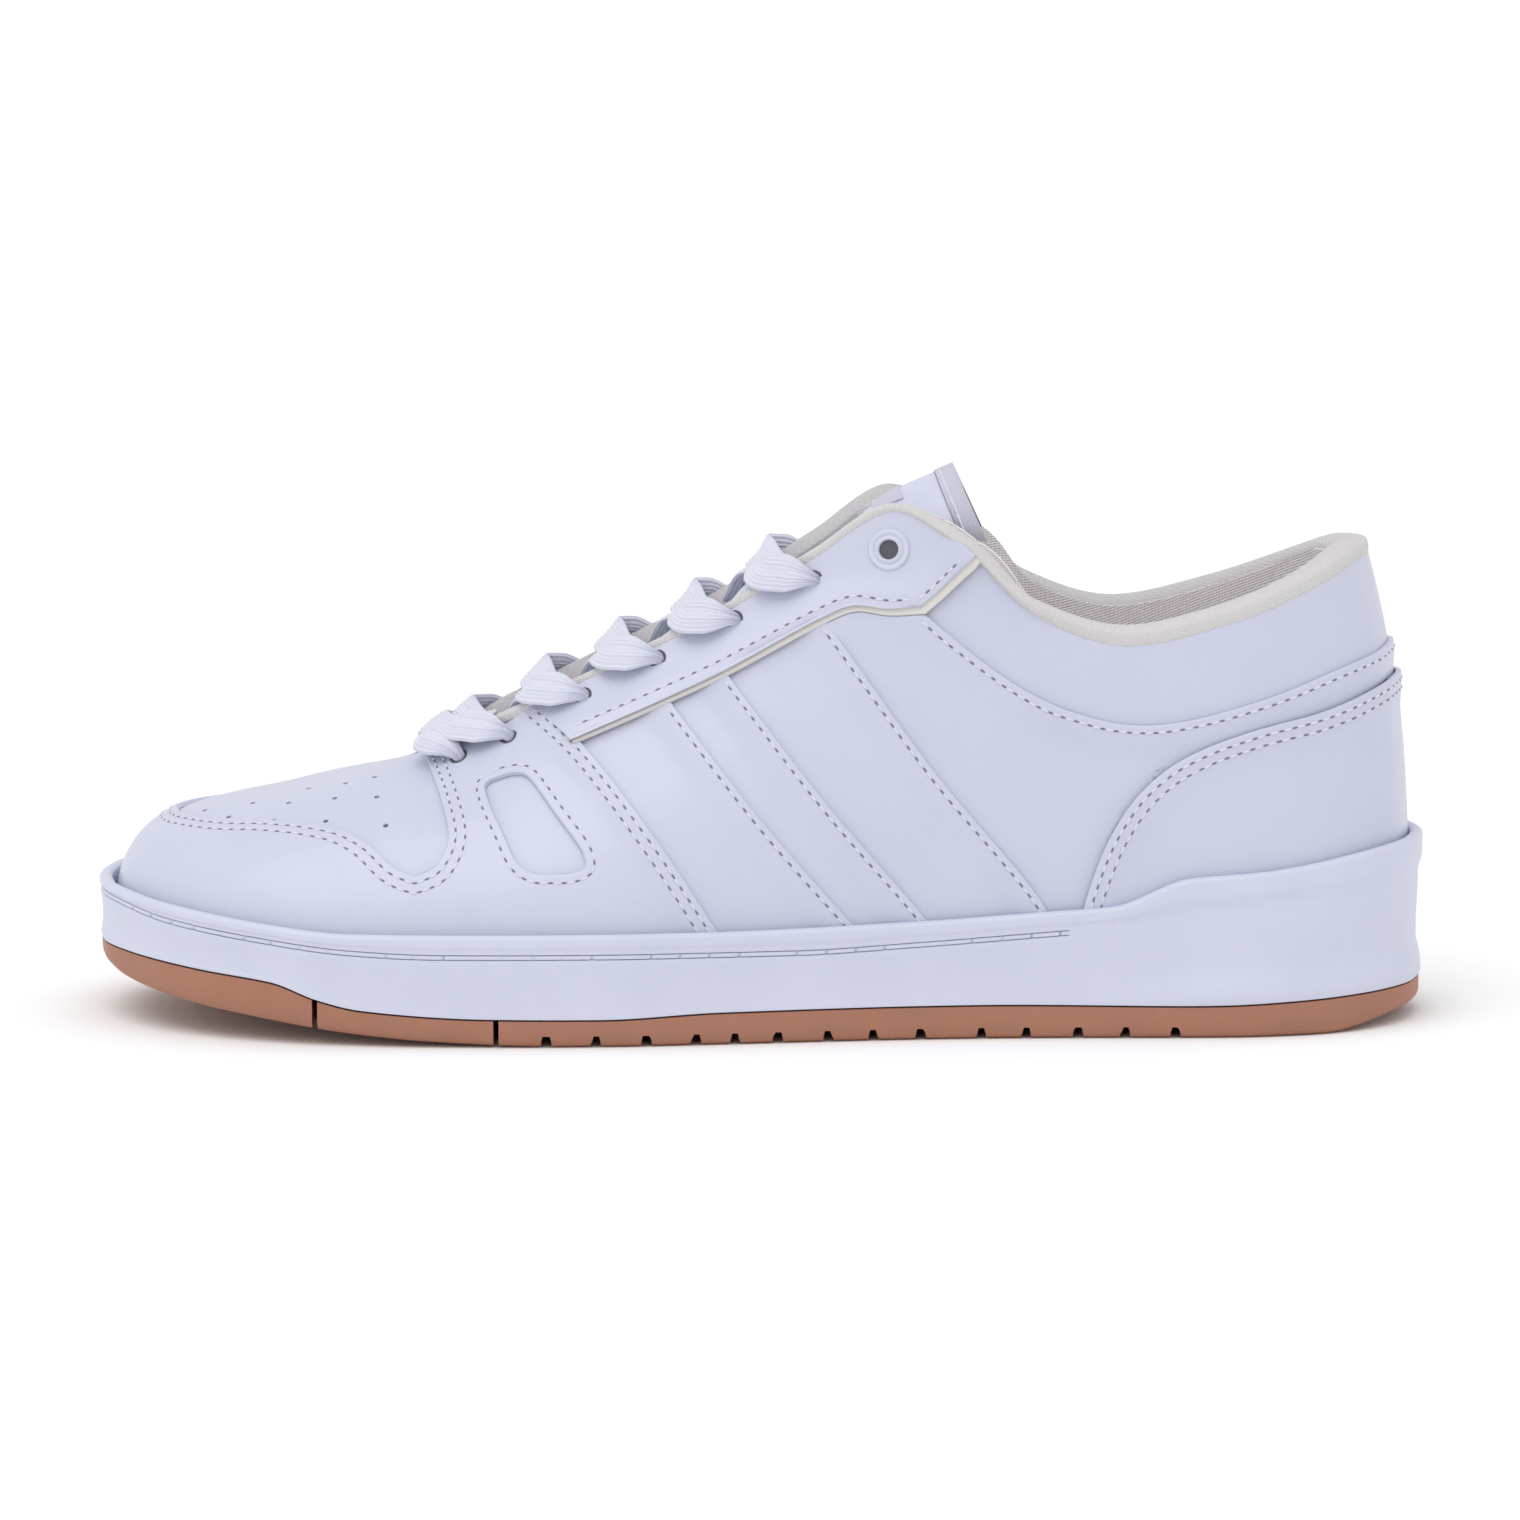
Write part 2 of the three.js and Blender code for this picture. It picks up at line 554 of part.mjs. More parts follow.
// The place on the upper whose side view is (x, z), on the lateral (-1) or the medial (1) side.
function locate([x, z], side) {
  let best = { t: 8, v: 0.9, miss: Infinity };
  let [reachT, reachV] = [9, 0.5];
  for (let round = 0; round < 9; round += 1) {
    const from = { ...best };
    for (const t of steps(from.t - reachT, from.t + reachT, 12)) {
      for (const v of steps(from.v - reachV, Math.min(from.v + reachV, 1), 12)) {
        const p = upper(-side * t, Math.max(v, 0));
        const miss = Math.hypot(p.x - x, p.z - z);
        if (t > THROAT && t < HEEL && miss < best.miss) best = { t, v, miss };
      }
    }
    reachT /= 3;
    reachV /= 3;
  }
  return [-side * best.t, best.v];
}
function outward(t, v) {
  const e = 0.01;
  const v1 = Math.min(v, 1 - e);
  const along = upper(t + e, v1).sub(upper(t - e, v1));
  const up = upper(t, v1 + e).sub(upper(t, v1 - e));
  return along.cross(up).normalize();
}

// Laces: flat strands that run over the throat, over the edge of the eyestay and down to a hole.
function ribbon(stops) {
  const points = stops.map(({ p }) => p);
  const rings = stops.map(({ p, n }, i) => {
    const along = points[Math.min(i + 1, points.length - 1)]
      .clone()
      .sub(points[Math.max(i - 1, 0)]);
    const across = n.clone().cross(along).normalize().multiplyScalar(LACE_WIDTH / 2);
    const up = along.clone().cross(across).normalize().multiplyScalar(-LACE_THICKNESS / 2);
    return [[-1, -1], [1, -1], [1, 1], [-1, 1]].map(([a, b]) =>
      p.clone().addScaledVector(across, a).addScaledVector(up, b).toArray(),
    );
  });
  const faces = [[0, 1, 2], [0, 2, 3]];
  const last = 4 * (rings.length - 1);
  faces.push([last, last + 2, last + 1], [last, last + 3, last + 2]);
  for (let r = 0; r + 1 < rings.length; r += 1) {
    for (let k = 0; k < 4; k += 1) {
      const [a, b] = [4 * r + k, 4 * r + ((k + 1) % 4)];
      faces.push([a, a + 4, b + 4], [a, b + 4, b]);
    }
  }
  return buildGeometry(rings.flat(2), faces.flat());
}
const LACE_LIFT = LACE_THICKNESS / 2 + GAP + 0.1;
const TURN_LIFT = 0.6;
const CROWN = new THREE.Vector3(-0.48, 0, 0.88);
function overThroat(x, y, lift) {
  const us = steps(0, TONGUE_TOP, 140);
  const u = us.reduce((a, b) =>
    Math.abs(tongue(a, 0).x - x) < Math.abs(tongue(b, 0).x - x) ? a : b,
  );
  const p = tongue(u, 0);
  return { p: new THREE.Vector3(p.x, y, p.z).addScaledVector(CROWN, lift), n: CROWN };
}
function overEyestay(hole, side) {
  const [t, v] = locate(hole, side);
  const at = (row, lift) => {
    const n = outward(t, row);
    return { p: upper(t, row).addScaledVector(n, OVERLAY[1] + lift), n };
  };
  return [at(1, 0.6 + LACE_LIFT), at((1 + v) / 2, LACE_LIFT), at(v, LACE_LIFT)];
}
function laces() {
  const bar = LACE_HOLES[0];
  const near = overEyestay(bar, -1).reverse();
  const far = overEyestay(bar, 1);
  const front = bar[0] - 1;
  add("lace_bar", ribbon([...near, overThroat(front, 0, 5.4), ...far]), LACE);
  LACE_HOLES.slice(1).forEach((hole, i) => {
    const before = LACE_HOLES[i];
    const middle = (hole[0] + before[0]) / 2;
    for (const [name, side, lift] of [["lateral", -1, 4], ["medial", 1, 1.2]]) {
      const crossing = overThroat(middle, 0, lift);
      const down = overEyestay(hole, side);
      const turn = {
        p: crossing.p.clone().lerp(down[0].p, 0.55).addScaledVector(CROWN, TURN_LIFT),
        n: CROWN.clone().add(down[0].n).normalize(),
      };
      const stops = [overThroat(before[0] + 6, -side * 3, lift), crossing, turn, ...down];
      add("lace_" + (i + 2) + "_" + name, ribbon(stops), LACE);
    }
  });
}
laces();

// Ringed eyelets in the top holes.
function eyelets() {
  const rise = 1;
  const profile = [[EYELET_BORE, 0], [EYELET_RADIUS, 0], [EYELET_RADIUS - 0.5, rise], [EYELET_BORE, rise]];
  const closed = [...profile, profile[0]].map(([r, h]) => new THREE.Vector2(r, h));
  for (const [name, side] of [["lateral", -1], ["medial", 1]]) {
    const [t, v] = locate(TOP_EYELET, side);
    const n = outward(t, v);
    const g = new THREE.LatheGeometry(closed, 16);
    g.applyQuaternion(new THREE.Quaternion().setFromUnitVectors(new THREE.Vector3(0, 1, 0), n));
    g.translate(...upper(t, v).addScaledVector(n, OVERLAY[1] + 2 * GAP).toArray());
    add("eyelet_" + name, g, CUP_RUBBER);
  }
}
eyelets();

// Binding rolled over the topline, from one eyestay round the collar to the other.
const BINDING_RADIUS = 1.5;
const BINDING_RISE = 0.8;
function binding() {
  const path = steps(-HEEL + 10, HEEL - 10, 40).map((t) => {
    const turn = HEEL + t;
    const n = outward(turn, 1);
    return upper(turn, 1).addScaledVector(n, -0.6).add(new THREE.Vector3(0, 0, BINDING_RISE));
  });
  const section = new THREE.Shape().absarc(0, 0, BINDING_RADIUS, 0, 2 * Math.PI);
  const g = new THREE.ExtrudeGeometry(section, {
    extrudePath: new THREE.CatmullRomCurve3(path),
    steps: 48,
    curveSegments: 4,
    bevelEnabled: false,
  });
  add("collar_binding", g, TEXTILE);
}
binding();

export default shoe;
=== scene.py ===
import math

import bmesh
import bpy
import numpy as np
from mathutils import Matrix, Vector


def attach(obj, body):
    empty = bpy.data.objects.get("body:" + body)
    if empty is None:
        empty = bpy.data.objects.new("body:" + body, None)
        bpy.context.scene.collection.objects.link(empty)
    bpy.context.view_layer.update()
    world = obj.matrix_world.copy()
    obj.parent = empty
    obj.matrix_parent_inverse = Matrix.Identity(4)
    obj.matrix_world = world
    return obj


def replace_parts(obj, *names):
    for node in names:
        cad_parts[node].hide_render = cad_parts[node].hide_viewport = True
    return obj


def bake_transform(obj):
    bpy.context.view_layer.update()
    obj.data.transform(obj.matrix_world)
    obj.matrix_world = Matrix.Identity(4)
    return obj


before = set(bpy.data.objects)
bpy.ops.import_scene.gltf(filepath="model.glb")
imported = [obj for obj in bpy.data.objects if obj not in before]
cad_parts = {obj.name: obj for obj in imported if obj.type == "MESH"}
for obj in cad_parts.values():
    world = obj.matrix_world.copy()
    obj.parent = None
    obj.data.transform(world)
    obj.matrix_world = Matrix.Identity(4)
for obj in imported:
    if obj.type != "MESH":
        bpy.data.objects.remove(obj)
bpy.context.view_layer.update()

# ---------------------------------------------------------------- camera
# A long lens a step back from the lateral side, a little above the sole.
AIM = Vector((0.0, 0.0, 0.0567))
CAMERA_DISTANCE = 1.5
CAMERA_ELEVATION = math.radians(8)
LENS = 157.0

camera_data = bpy.data.cameras.new("camera")
camera_data.lens = LENS
camera = bpy.data.objects.new("camera", camera_data)
away = Vector((0, -math.cos(CAMERA_ELEVATION), math.sin(CAMERA_ELEVATION)))
camera.location = AIM + away * CAMERA_DISTANCE
camera.rotation_euler = (-away).to_track_quat("-Z", "Y").to_euler()
bpy.context.collection.objects.link(camera)
bpy.context.scene.camera = camera

# ---------------------------------------------------------------- sole outline
# The cupsole, the outsole and the last share one plan. Stations run round the shoe from the toe
# (0) to the heel (18); all the sizes in this file's tables are in millimetres.
MM = 0.001
STATIONS = np.array([
    # lateral x, y   medial x, y   top x, half, z, middle   upright, top length, top slope
    [-150, 4, -150, 4, -112, 0, 48.2, 5, 16, 21, 6],
    [-148, -11, -148.6, 17.5, -111, 0, 48.4, 5, 16, 21, 6],
    [-139.5, -27, -142, 31.5, -108, 0, 49, 5, 17, 20, 5],
    [-122, -41, -127, 43.2, -102, 0, 50.2, 4.6, 19, 20, 3],
    [-99, -49.5, -104, 50.5, -92, 0, 52.8, 4, 22, 23, 0],
    [-76, -52.5, -80, 53, -80, 0, 56, 3.2, 25, 26, 4],
    [-56, -53, -58, 52.3, -69, 8.5, 60.6, 2.6, 27, 24, 22],
    [-34, -52.2, -36, 49, -52, 12.5, 69.3, 2, 30, 26, 32],
    [-11, -49.4, -13, 44.4, -31, 14.5, 80.3, 1.4, 32, 28, 40],
    [13, -45.8, 12, 40.4, -9, 16, 92.2, 1, 34, 30, 47],
    [36, -42.9, 36, 38.7, 12, 17.5, 106.2, 0.6, 36, 32, 54],
    [56, -41.4, 57, 38.8, 30, 20.5, 117.4, 0.3, 38, 34, 62],
    [73, -41, 73, 39.4, 46, 26.5, 110.2, 0, 38, 30, 72],
    [89, -41, 88, 40.3, 61, 30.5, 96.2, 0, 34, 24, 78],
    [104, -40.6, 104, 40.6, 81, 31, 90, 0, 30, 20, 80],
    [121, -37.6, 121, 37.8, 104, 29.5, 95, 0, 30, 20, 80],
    [136, -30, 136, 30.2, 122, 21.5, 102, 0, 36, 18, 78],
    [147, -15.5, 147, 15.6, 131, 9.5, 106.4, 0, 42, 20, 76],
    [150, 0, 150, 0, 133.6, 0, 107, 0, 44, 20, 74],
])
HEEL = len(STATIONS) - 1
LOOP = 2 * HEEL
LOOP_MARGIN = 3


def slopes(xs, ys):
    """Slopes between knots, and at each inner knot their harmonic mean, 0 where they turn."""
    steps = np.diff(ys, axis=0) / np.diff(xs)[:, None]
    before, after = steps[:-1], steps[1:]
    total = before + after
    inner = np.where(before * after > 0, 2 * before * after / np.where(total == 0, 1, total), 0)
    return steps, inner


def monotone(xs, ys, x, level_ends=True):
    """Cubic through the knots (xs, ys) that never overshoots them, at the places x."""
    xs, ys = np.asarray(xs, float), np.asarray(ys, float)
    ys = ys[:, None] if ys.ndim == 1 else ys
    steps, inner = slopes(xs, ys)
    ends = (steps[:1] * 0, steps[-1:] * 0) if level_ends else (steps[:1], steps[-1:])
    slope = np.concatenate([ends[0], inner, ends[1]])
    x = np.clip(np.asarray(x, float), xs[0], xs[-1])
    i = np.clip(np.searchsorted(xs, x, side="right") - 1, 0, len(xs) - 2)
    span = (xs[i + 1] - xs[i])[..., None]
    u = (x - xs[i])[..., None] / span
    rise = ys[i + 1] - ys[i]
    a, b = slope[i] * span, slope[i + 1] * span
    return ys[i] + u * (a + u * (3 * rise - 2 * a - b + u * (a + b - 2 * rise)))


def station_loop():
    """The station table as one closed loop of knots: x, y, top x, top y, top z, and the handles."""
    k = np.arange(-LOOP_MARGIN, LOOP + LOOP_MARGIN + 1)
    turn = k % LOOP
    lateral = turn <= HEEL
    row = np.where(lateral, turn, LOOP - turn)
    s = STATIONS[row]
    side = np.where(lateral, -1, 1)
    return k.astype(float), np.column_stack([
        np.where(lateral, s[:, 0], s[:, 2]), np.where(lateral, s[:, 1], s[:, 3]),
        s[:, 4], side * s[:, 5], s[:, 6], s[:, 7], s[:, 8], s[:, 9], s[:, 10],
    ])


LOOP_KNOTS, LOOP_VALUES = station_loop()


def stations(t):
    """Every column of the station table at the loop positions t."""
    return monotone(LOOP_KNOTS, LOOP_VALUES, np.mod(t, LOOP))


def outline(t, inset=0.0):
    """The sole's plan at t, moved inward square to itself by an inset: (x, y)."""
    e = 0.02
    ahead, behind = stations(t + e)[..., :2], stations(t - e)[..., :2]
    d = ahead - behind
    d /= np.linalg.norm(d, axis=-1, keepdims=True)
    at = stations(t)[..., :2]
    return at + np.stack([-d[..., 1], d[..., 0]], -1) * np.asarray(inset)[..., None]


def profile(points):
    """A height along the shoe: a function of x through (x, z) points."""
    xs, zs = np.array(points, float).T
    return lambda x: monotone(xs, zs, x)[..., 0]


ground = profile([(-150, 13.5), (-142, 10.8), (-125, 7.4), (-110, 5.3), (-90, 2.6), (-71, 1),
                  (-44, 0), (125, 0), (150, 4)])
gum_top = profile([(-150, 17), (-120, 14.7), (-108, 13.4), (-97, 9.7), (-88, 7.8), (-60, 6.1),
                   (-35, 5.9), (-8, 7), (50, 7.4), (97, 7), (150, 8.6)])
rim = profile([(-150, 31), (-131, 29), (-110, 26.6), (-90, 25), (-10, 25.2), (36, 26.6),
               (63, 28.4), (78, 29.6), (95, 35.8), (112, 37.1), (150, 41.6)])
bed = profile([(-150, 23), (-130, 21.5), (-110, 19.6), (-95, 17), (-80, 14.8), (-60, 13.4),
               (-30, 13.4), (0, 15), (40, 18.5), (80, 21), (150, 22)])

# ---------------------------------------------------------------- cupsole
# One moulding of white rubber. Its wall stands up round the upper, with a rolled rim, a moulded
# line of false stitches round the front and the waist, and a thicker, higher wall at the heel.
AROUND = 1440
CUP_WALL = 3.0
CUP_BOTTOM = 0.3
CUP_FLOOR = 2.0
FRONT_SET, HEEL_SET = 0.3, 0.9
HEEL_BLEND = (72, 100)
ROLL_HIGH = 1.1
STITCH_LINE = profile([(-150, 28.4), (-131, 25.4), (-110, 22.9), (-90, 20.9), (-70, 20.2),
                       (7, 20.2), (36, 21.5), (69.4, 23.9), (150, 30)])
STITCH_LINE_END = 68.5
STITCH_RUNG = 6.5
LINE_RINGS = (-1.4, -0.85, -0.66, -0.52, -0.38, -0.2, 0.0, 0.2, 0.38, 0.52, 0.66, 0.85, 1.3)
GROOVE_AT = 0.52
GROOVE_DEPTH = 0.6


class Value:
    """A node socket with arithmetic: an expression on values adds its Math nodes."""

    def __init__(self, tree, socket):
        self.tree, self.socket = tree, socket

    def math(self, operation, *others):
        """A Math node on this value and others."""
        return self.tree.node("ShaderNodeMath", {"operation": operation}, [self, *others])

    def __add__(self, other):
        return self.math("ADD", other)

    def __sub__(self, other):
        return self.math("SUBTRACT", other)

    def __mul__(self, other):
        return self.math("MULTIPLY", other)

    def __rsub__(self, other):
        return self.tree.node("ShaderNodeMath", {"operation": "SUBTRACT"}, [other, self])

    __radd__, __rmul__ = __add__, __mul__


class Finish:
    """A material and its nodes."""

    def __init__(self, name, **sockets):
        self.material = bpy.data.materials.new(name)
        self.material.use_nodes = True
        self.nodes = self.material.node_tree.nodes
        self.links = self.material.node_tree.links
        self.shader = self.nodes["Principled BSDF"]
        for key, value in sockets.items():
            self.set(key.replace("_", " ").title().replace("Ior", "IOR"), value)

    def set(self, name, value):
        """Puts a constant or a link on one of the shader's sockets."""
        socket = self.shader.inputs[name]
        if isinstance(value, Value):
            self.links.new(value.socket, socket)
        elif isinstance(value, tuple):
            socket.default_value = (*value, 1.0)
        else:
            socket.default_value = value

    def node(self, kind, settings=None, inputs=(), output=0):
        """Adds a node: its settings first, then its inputs by place or by name."""
        made = self.nodes.new(kind)
        for key, value in (settings or {}).items():
            setattr(made, key, value)
        pairs = inputs.items() if isinstance(inputs, dict) else enumerate(inputs)
        for key, value in pairs:
            if isinstance(value, Value):
                self.links.new(value.socket, made.inputs[key])
            elif value is not None:
                made.inputs[key].default_value = value
        return Value(self, made.outputs[output])

    def place(self):
        """The object's own coordinates."""
        return self.node("ShaderNodeTexCoord", output=3)

    def uv(self):
        """The piece's own UV map, in millimetres."""
        return self.node("ShaderNodeUVMap", {"uv_map": "grain"})

    def noise(self, scale, detail=2.0):
        """Cloudy noise on the object's coordinates, 0 to 1."""
        inputs = {"Vector": self.place(), "Scale": scale, "Detail": detail}
        return self.node("ShaderNodeTexNoise", {}, inputs)

    def axis(self, vector, which):
        """One number of a vector."""
        return self.node("ShaderNodeSeparateXYZ", {}, [vector], output=which)

    def mix(self, factor, a, b):
        """The colour a where the factor is 0, b where it is 1."""
        inputs = {"Factor": factor, "A": (*a, 1.0) if isinstance(a, tuple) else a,
                  "B": (*b, 1.0) if isinstance(b, tuple) else b}
        made = self.nodes.new("ShaderNodeMix")
        made.data_type = "RGBA"
        for key, value in inputs.items():
            socket = [s for s in made.inputs if s.name == key and s.enabled][0]
            if isinstance(value, Value):
                self.links.new(value.socket, socket)
            else:
                socket.default_value = value
        return Value(self, [s for s in made.outputs if s.enabled][0])

    def bump(self, height, distance, strength=1.0):
        """A relief from a height, laid on top of any relief already there."""
        inputs = {"Height": height, "Distance": distance, "Strength": strength}
        if self.shader.inputs["Normal"].is_linked:
            inputs["Normal"] = Value(self, self.shader.inputs["Normal"].links[0].from_socket)
        self.set("Normal", self.node("ShaderNodeBump", {}, inputs))


def dress(obj, finish, body="root", smooth=True):
    """Links a piece, gives it its finish and rides it on its body."""
    bpy.context.collection.objects.link(obj)
    obj.data.materials.append(finish.material)
    if smooth:
        obj.data.shade_smooth()
        obj.data.set_sharp_from_angle(angle=math.radians(50))
    if body:
        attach(obj, body)
    return obj


def grid_faces(rows, columns, start=0, closed=False):
    """Quads between neighbours of a rows by columns grid; closed joins the last row to the first."""
    i, j = np.meshgrid(np.arange(rows if closed else rows - 1), np.arange(columns - 1), indexing="ij")
    nxt = (i + 1) % rows
    quads = [i * columns + j, nxt * columns + j, nxt * columns + j + 1, i * columns + j + 1]
    return np.stack(quads, -1).reshape(-1, 4) + start


def smoothstep(x, low=0.0, high=1.0):
    """0 below low, 1 above high, and 3u2 - 2u3 of the share u between."""
    u = np.clip((np.asarray(x, float) - low) / (high - low), 0, 1)
    return u * u * (3 - 2 * u)


def solid(name, points, faces, uv=None, merge=True, dissolve=False):
    """A mesh object from points in millimetres and faces: doubles merged, faces turned outward."""
    mesh = bpy.data.meshes.new(name)
    mesh.from_pydata(np.asarray(points, float).reshape(-1, 3) * MM, [], faces)
    if uv is not None:
        index = np.empty(len(mesh.loops), int)
        mesh.loops.foreach_get("vertex_index", index)
        layer = mesh.uv_layers.new(name="grain")
        layer.data.foreach_set("uv", np.asarray(uv, float).reshape(-1, 2)[index].ravel())
    work = bmesh.new()
    work.from_mesh(mesh)
    if merge:
        bmesh.ops.remove_doubles(work, verts=work.verts, dist=1e-6)
    if dissolve:
        bmesh.ops.dissolve_degenerate(work, edges=work.edges, dist=1e-7)
    bmesh.ops.recalc_face_normals(work, faces=work.faces)
    work.to_mesh(mesh)
    work.free()
    return bpy.data.objects.new(name, mesh)


def cup_rubber():
    """White rubber, a little cloudy, with a fine moulded grain."""
    made = Finish("cup_rubber")
    cloud = made.noise(60, 3)
    made.set("Base Color", made.mix(cloud, (0.57, 0.59, 0.72), (0.63, 0.65, 0.77)))
    made.set("Roughness", cloud * 0.12 + 0.36)
    made.bump(made.noise(2600, 2), 0.00003, 0.5)
    return made


def cupsole():
    """Rings round the cup from the gum up the outside, over the rim and down inside to its floor.

    Each ring is the sole's outline moved in by an inset, at a height that follows the side view.
    """
    t = np.arange(AROUND) * LOOP / AROUND
    plan = outline(t)
    x = plan[:, 0]
    low, high, line = gum_top(x) + CUP_BOTTOM, rim(x), STITCH_LINE(x)
    run = np.concatenate([[0], np.cumsum(np.linalg.norm(np.diff(plan, axis=0), axis=1))])
    heel = smoothstep(x, *HEEL_BLEND)
    floor = low + CUP_FLOOR
    rows = []

    def ring(inset, z):
        xy = outline(t, np.broadcast_to(inset, t.shape))
        rows.append(np.column_stack([xy, np.broadcast_to(z, t.shape)]))

    # the foot, rounded in to the gum, and the wall, hollowed at the heel
    for inset, rise in ((0.9, 0.0), (0.25, 0.15), (0.2 * (1 - heel), 0.7)):
        ring(inset, low + rise)
    for share in np.linspace(0.12, 0.9, 14):
        hollow = HEEL_SET * heel * smoothstep(share, 0.15, 0.45) + 0.35 * np.sin(np.pi * share)
        ring(hollow + FRONT_SET * (1 - heel), low + (line + LINE_RINGS[0] - low) * share)
    # two grooves with rungs between them, which end at the waist
    active = smoothstep(-x, -STITCH_LINE_END, -STITCH_LINE_END + 0.6)
    phase = np.abs(np.mod(run / STITCH_RUNG + 0.5, 1) - 0.5) * STITCH_RUNG
    rung = active * (1 - smoothstep(phase, 0.12, 0.3))
    side = FRONT_SET * (1 - heel) + HEEL_SET * heel
    for lift in LINE_RINGS:
        cut = GROOVE_DEPTH * active * (1 - smoothstep(abs(abs(lift) - GROOVE_AT), 0.03, 0.16))
        if abs(lift) < GROOVE_AT - 0.02:
            cut = np.maximum(cut, GROOVE_DEPTH * rung)
        ring(side + cut, line + lift)
    # on up to the rolled rim and down the inside
    top = line + LINE_RINGS[-1]
    for share in np.linspace(0.15, 0.75, 6):
        ring(side * (1 - smoothstep(share, 0.1, 0.6)), top + (high - 1.6 - top) * share)
    for angle in np.radians(np.linspace(0, 180, 11)):
        ring(CUP_WALL / 2 * (1 - math.cos(angle)), high - ROLL_HIGH + ROLL_HIGH * math.sin(angle))
    for share in (0.3, 0.7, 1.0):
        ring(CUP_WALL, high - ROLL_HIGH + (floor - high + ROLL_HIGH) * share)
    return np.stack(rows, 1)


def strip_cap(ids):
    """Closes a ring of an even number of points with strips from side to side."""
    n = len(ids)
    a = ids[np.arange(0, n // 2)]
    b = ids[np.arange(1, n // 2 + 1)]
    c = ids[(n - np.arange(1, n // 2 + 1)) % n]
    d = ids[(n - np.arange(0, n // 2)) % n]
    return np.stack([a, b, c, d], -1)


def ringed_body(name, rows):
    """A body from rings (round the shoe, ring number, xyz), both ends closed by strips."""
    around, rings = rows.shape[:2]
    ids = np.arange(around * rings).reshape(around, rings)
    quads = np.concatenate([grid_faces(around, rings, 0, True), strip_cap(ids[:, 0]),
                            strip_cap(ids[:, -1])]).tolist()
    return solid(name, rows, [list(dict.fromkeys(q)) for q in quads], merge=False)


CUP_RUBBER = cup_rubber()
cup = dress(ringed_body("cupsole", cupsole()), CUP_RUBBER)
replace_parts(cup, "midsole_cup")

# ---------------------------------------------------------------- gum outsole
# Three gum rubber pieces glued under the cup: the toe piece that curls up, the forefoot pad and
# the long rear piece. Channels cross the tread and open at the edge.
SLITS = (-98, -58)
SLIT_HALF = 0.6
CHANNELS = (-47, -36, -25, -14, -5.5, 4, 15, 25, 35.5, 49, 59, 70.5, 81, 92)
CHANNEL_HALF = 1.1
CHANNEL_DEPTH = 2.6
TREAD_DEPTH = 1.1
TREAD_PITCH = 5.0
ZIGZAG = 14.0
GUM_INSET = 0.45
GUM_STEP = 0.4
# the rounded lower edge: how far in from the side and how far up each of its lines runs
EDGE_REACH = (2.6, 1.9, 1.2, 0.6, 0.2)
EDGE_RISE = (0.0, 0.08, 0.35, 0.8, 1.5)
WALL_SHARES = (0.45, 0.75, 1.0)


def gum_rubber():
    """Brown gum rubber, cloudy and fairly dull."""
    made = Finish("gum_rubber")
    cloud = made.noise(90, 4)
    made.set("Base Color", made.mix(cloud, (0.33, 0.14, 0.085), (0.42, 0.19, 0.12)))
    made.set("Roughness", cloud * 0.2 + 0.45)
    made.bump(made.noise(1800, 3), 0.00006, 0.6)
    return made


def gum_piece(name, x0, x1):
    """One piece of the outsole between two x: a section at each x, carried along the shoe.

    Underneath, zigzag grooves run in the middle and channels cross to the edge.
    """
    t = np.linspace(0, HEEL, 2400)
    lateral, medial = outline(t, GUM_INSET), outline(LOOP - t, GUM_INSET)
    x = np.linspace(x0, x1, max(int((x1 - x0) / GUM_STEP), 60))
    left = np.interp(x, lateral[:, 0], lateral[:, 1])
    right = np.interp(x, medial[:, 0], medial[:, 1])
    low, high = ground(x), gum_top(x)
    across = np.linspace(-1, 1, 161)
    middle, half = (left + right) / 2, (right - left) / 2
    y = middle[:, None] + across[None, :] * np.maximum(half - EDGE_REACH[0], 0.05)[:, None]
    xg = np.broadcast_to(x[:, None], y.shape)
    zigzag = np.abs(np.mod(y / ZIGZAG, 1) - 0.5) * ZIGZAG
    groove = smoothstep(np.abs(np.mod((xg + zigzag) / TREAD_PITCH, 1) - 0.5), 0.30, 0.40)
    inside = 1 - smoothstep(np.abs(across), 0.86, 0.9)[None, :]
    gap = np.abs(x[:, None] - np.array(CHANNELS)).min(1)
    channel = CHANNEL_DEPTH * (1 - smoothstep(gap, CHANNEL_HALF - 0.3, CHANNEL_HALF))
    depth = np.maximum(TREAD_DEPTH * groove * inside, channel[:, None])
    bottom = np.stack([xg, y, low[:, None] + depth], -1)
    walls = []
    for sign, edge in ((-1, left), (1, right)):
        lines = [np.column_stack([x, edge - sign * np.minimum(reach, half),
                                  np.minimum(np.maximum(low + rise, low + channel), high)])
                 for reach, rise in zip(EDGE_REACH[1:], EDGE_RISE[1:])]
        lines += [np.column_stack([x, edge, np.maximum(low + (high - low) * (0.25 + 0.75 * share), low)])
                  for share in WALL_SHARES]
        walls.append(lines)
    top = [np.column_stack([x, middle + side * half, high]) for side in (1, -1)]
    grid = np.stack([*walls[0][::-1], *np.moveaxis(bottom, 1, 0), *walls[1], *top], 1)
    rows, points = grid.shape[:2]
    ids = np.arange(rows * points).reshape(rows, points)
    back = np.stack([ids[:-1, -1], ids[1:, -1], ids[1:, 0], ids[:-1, 0]], -1)
    caps = [ids[0].tolist(), ids[-1][::-1].tolist()]
    return solid(name, grid, grid_faces(rows, points).tolist() + back.tolist() + caps)


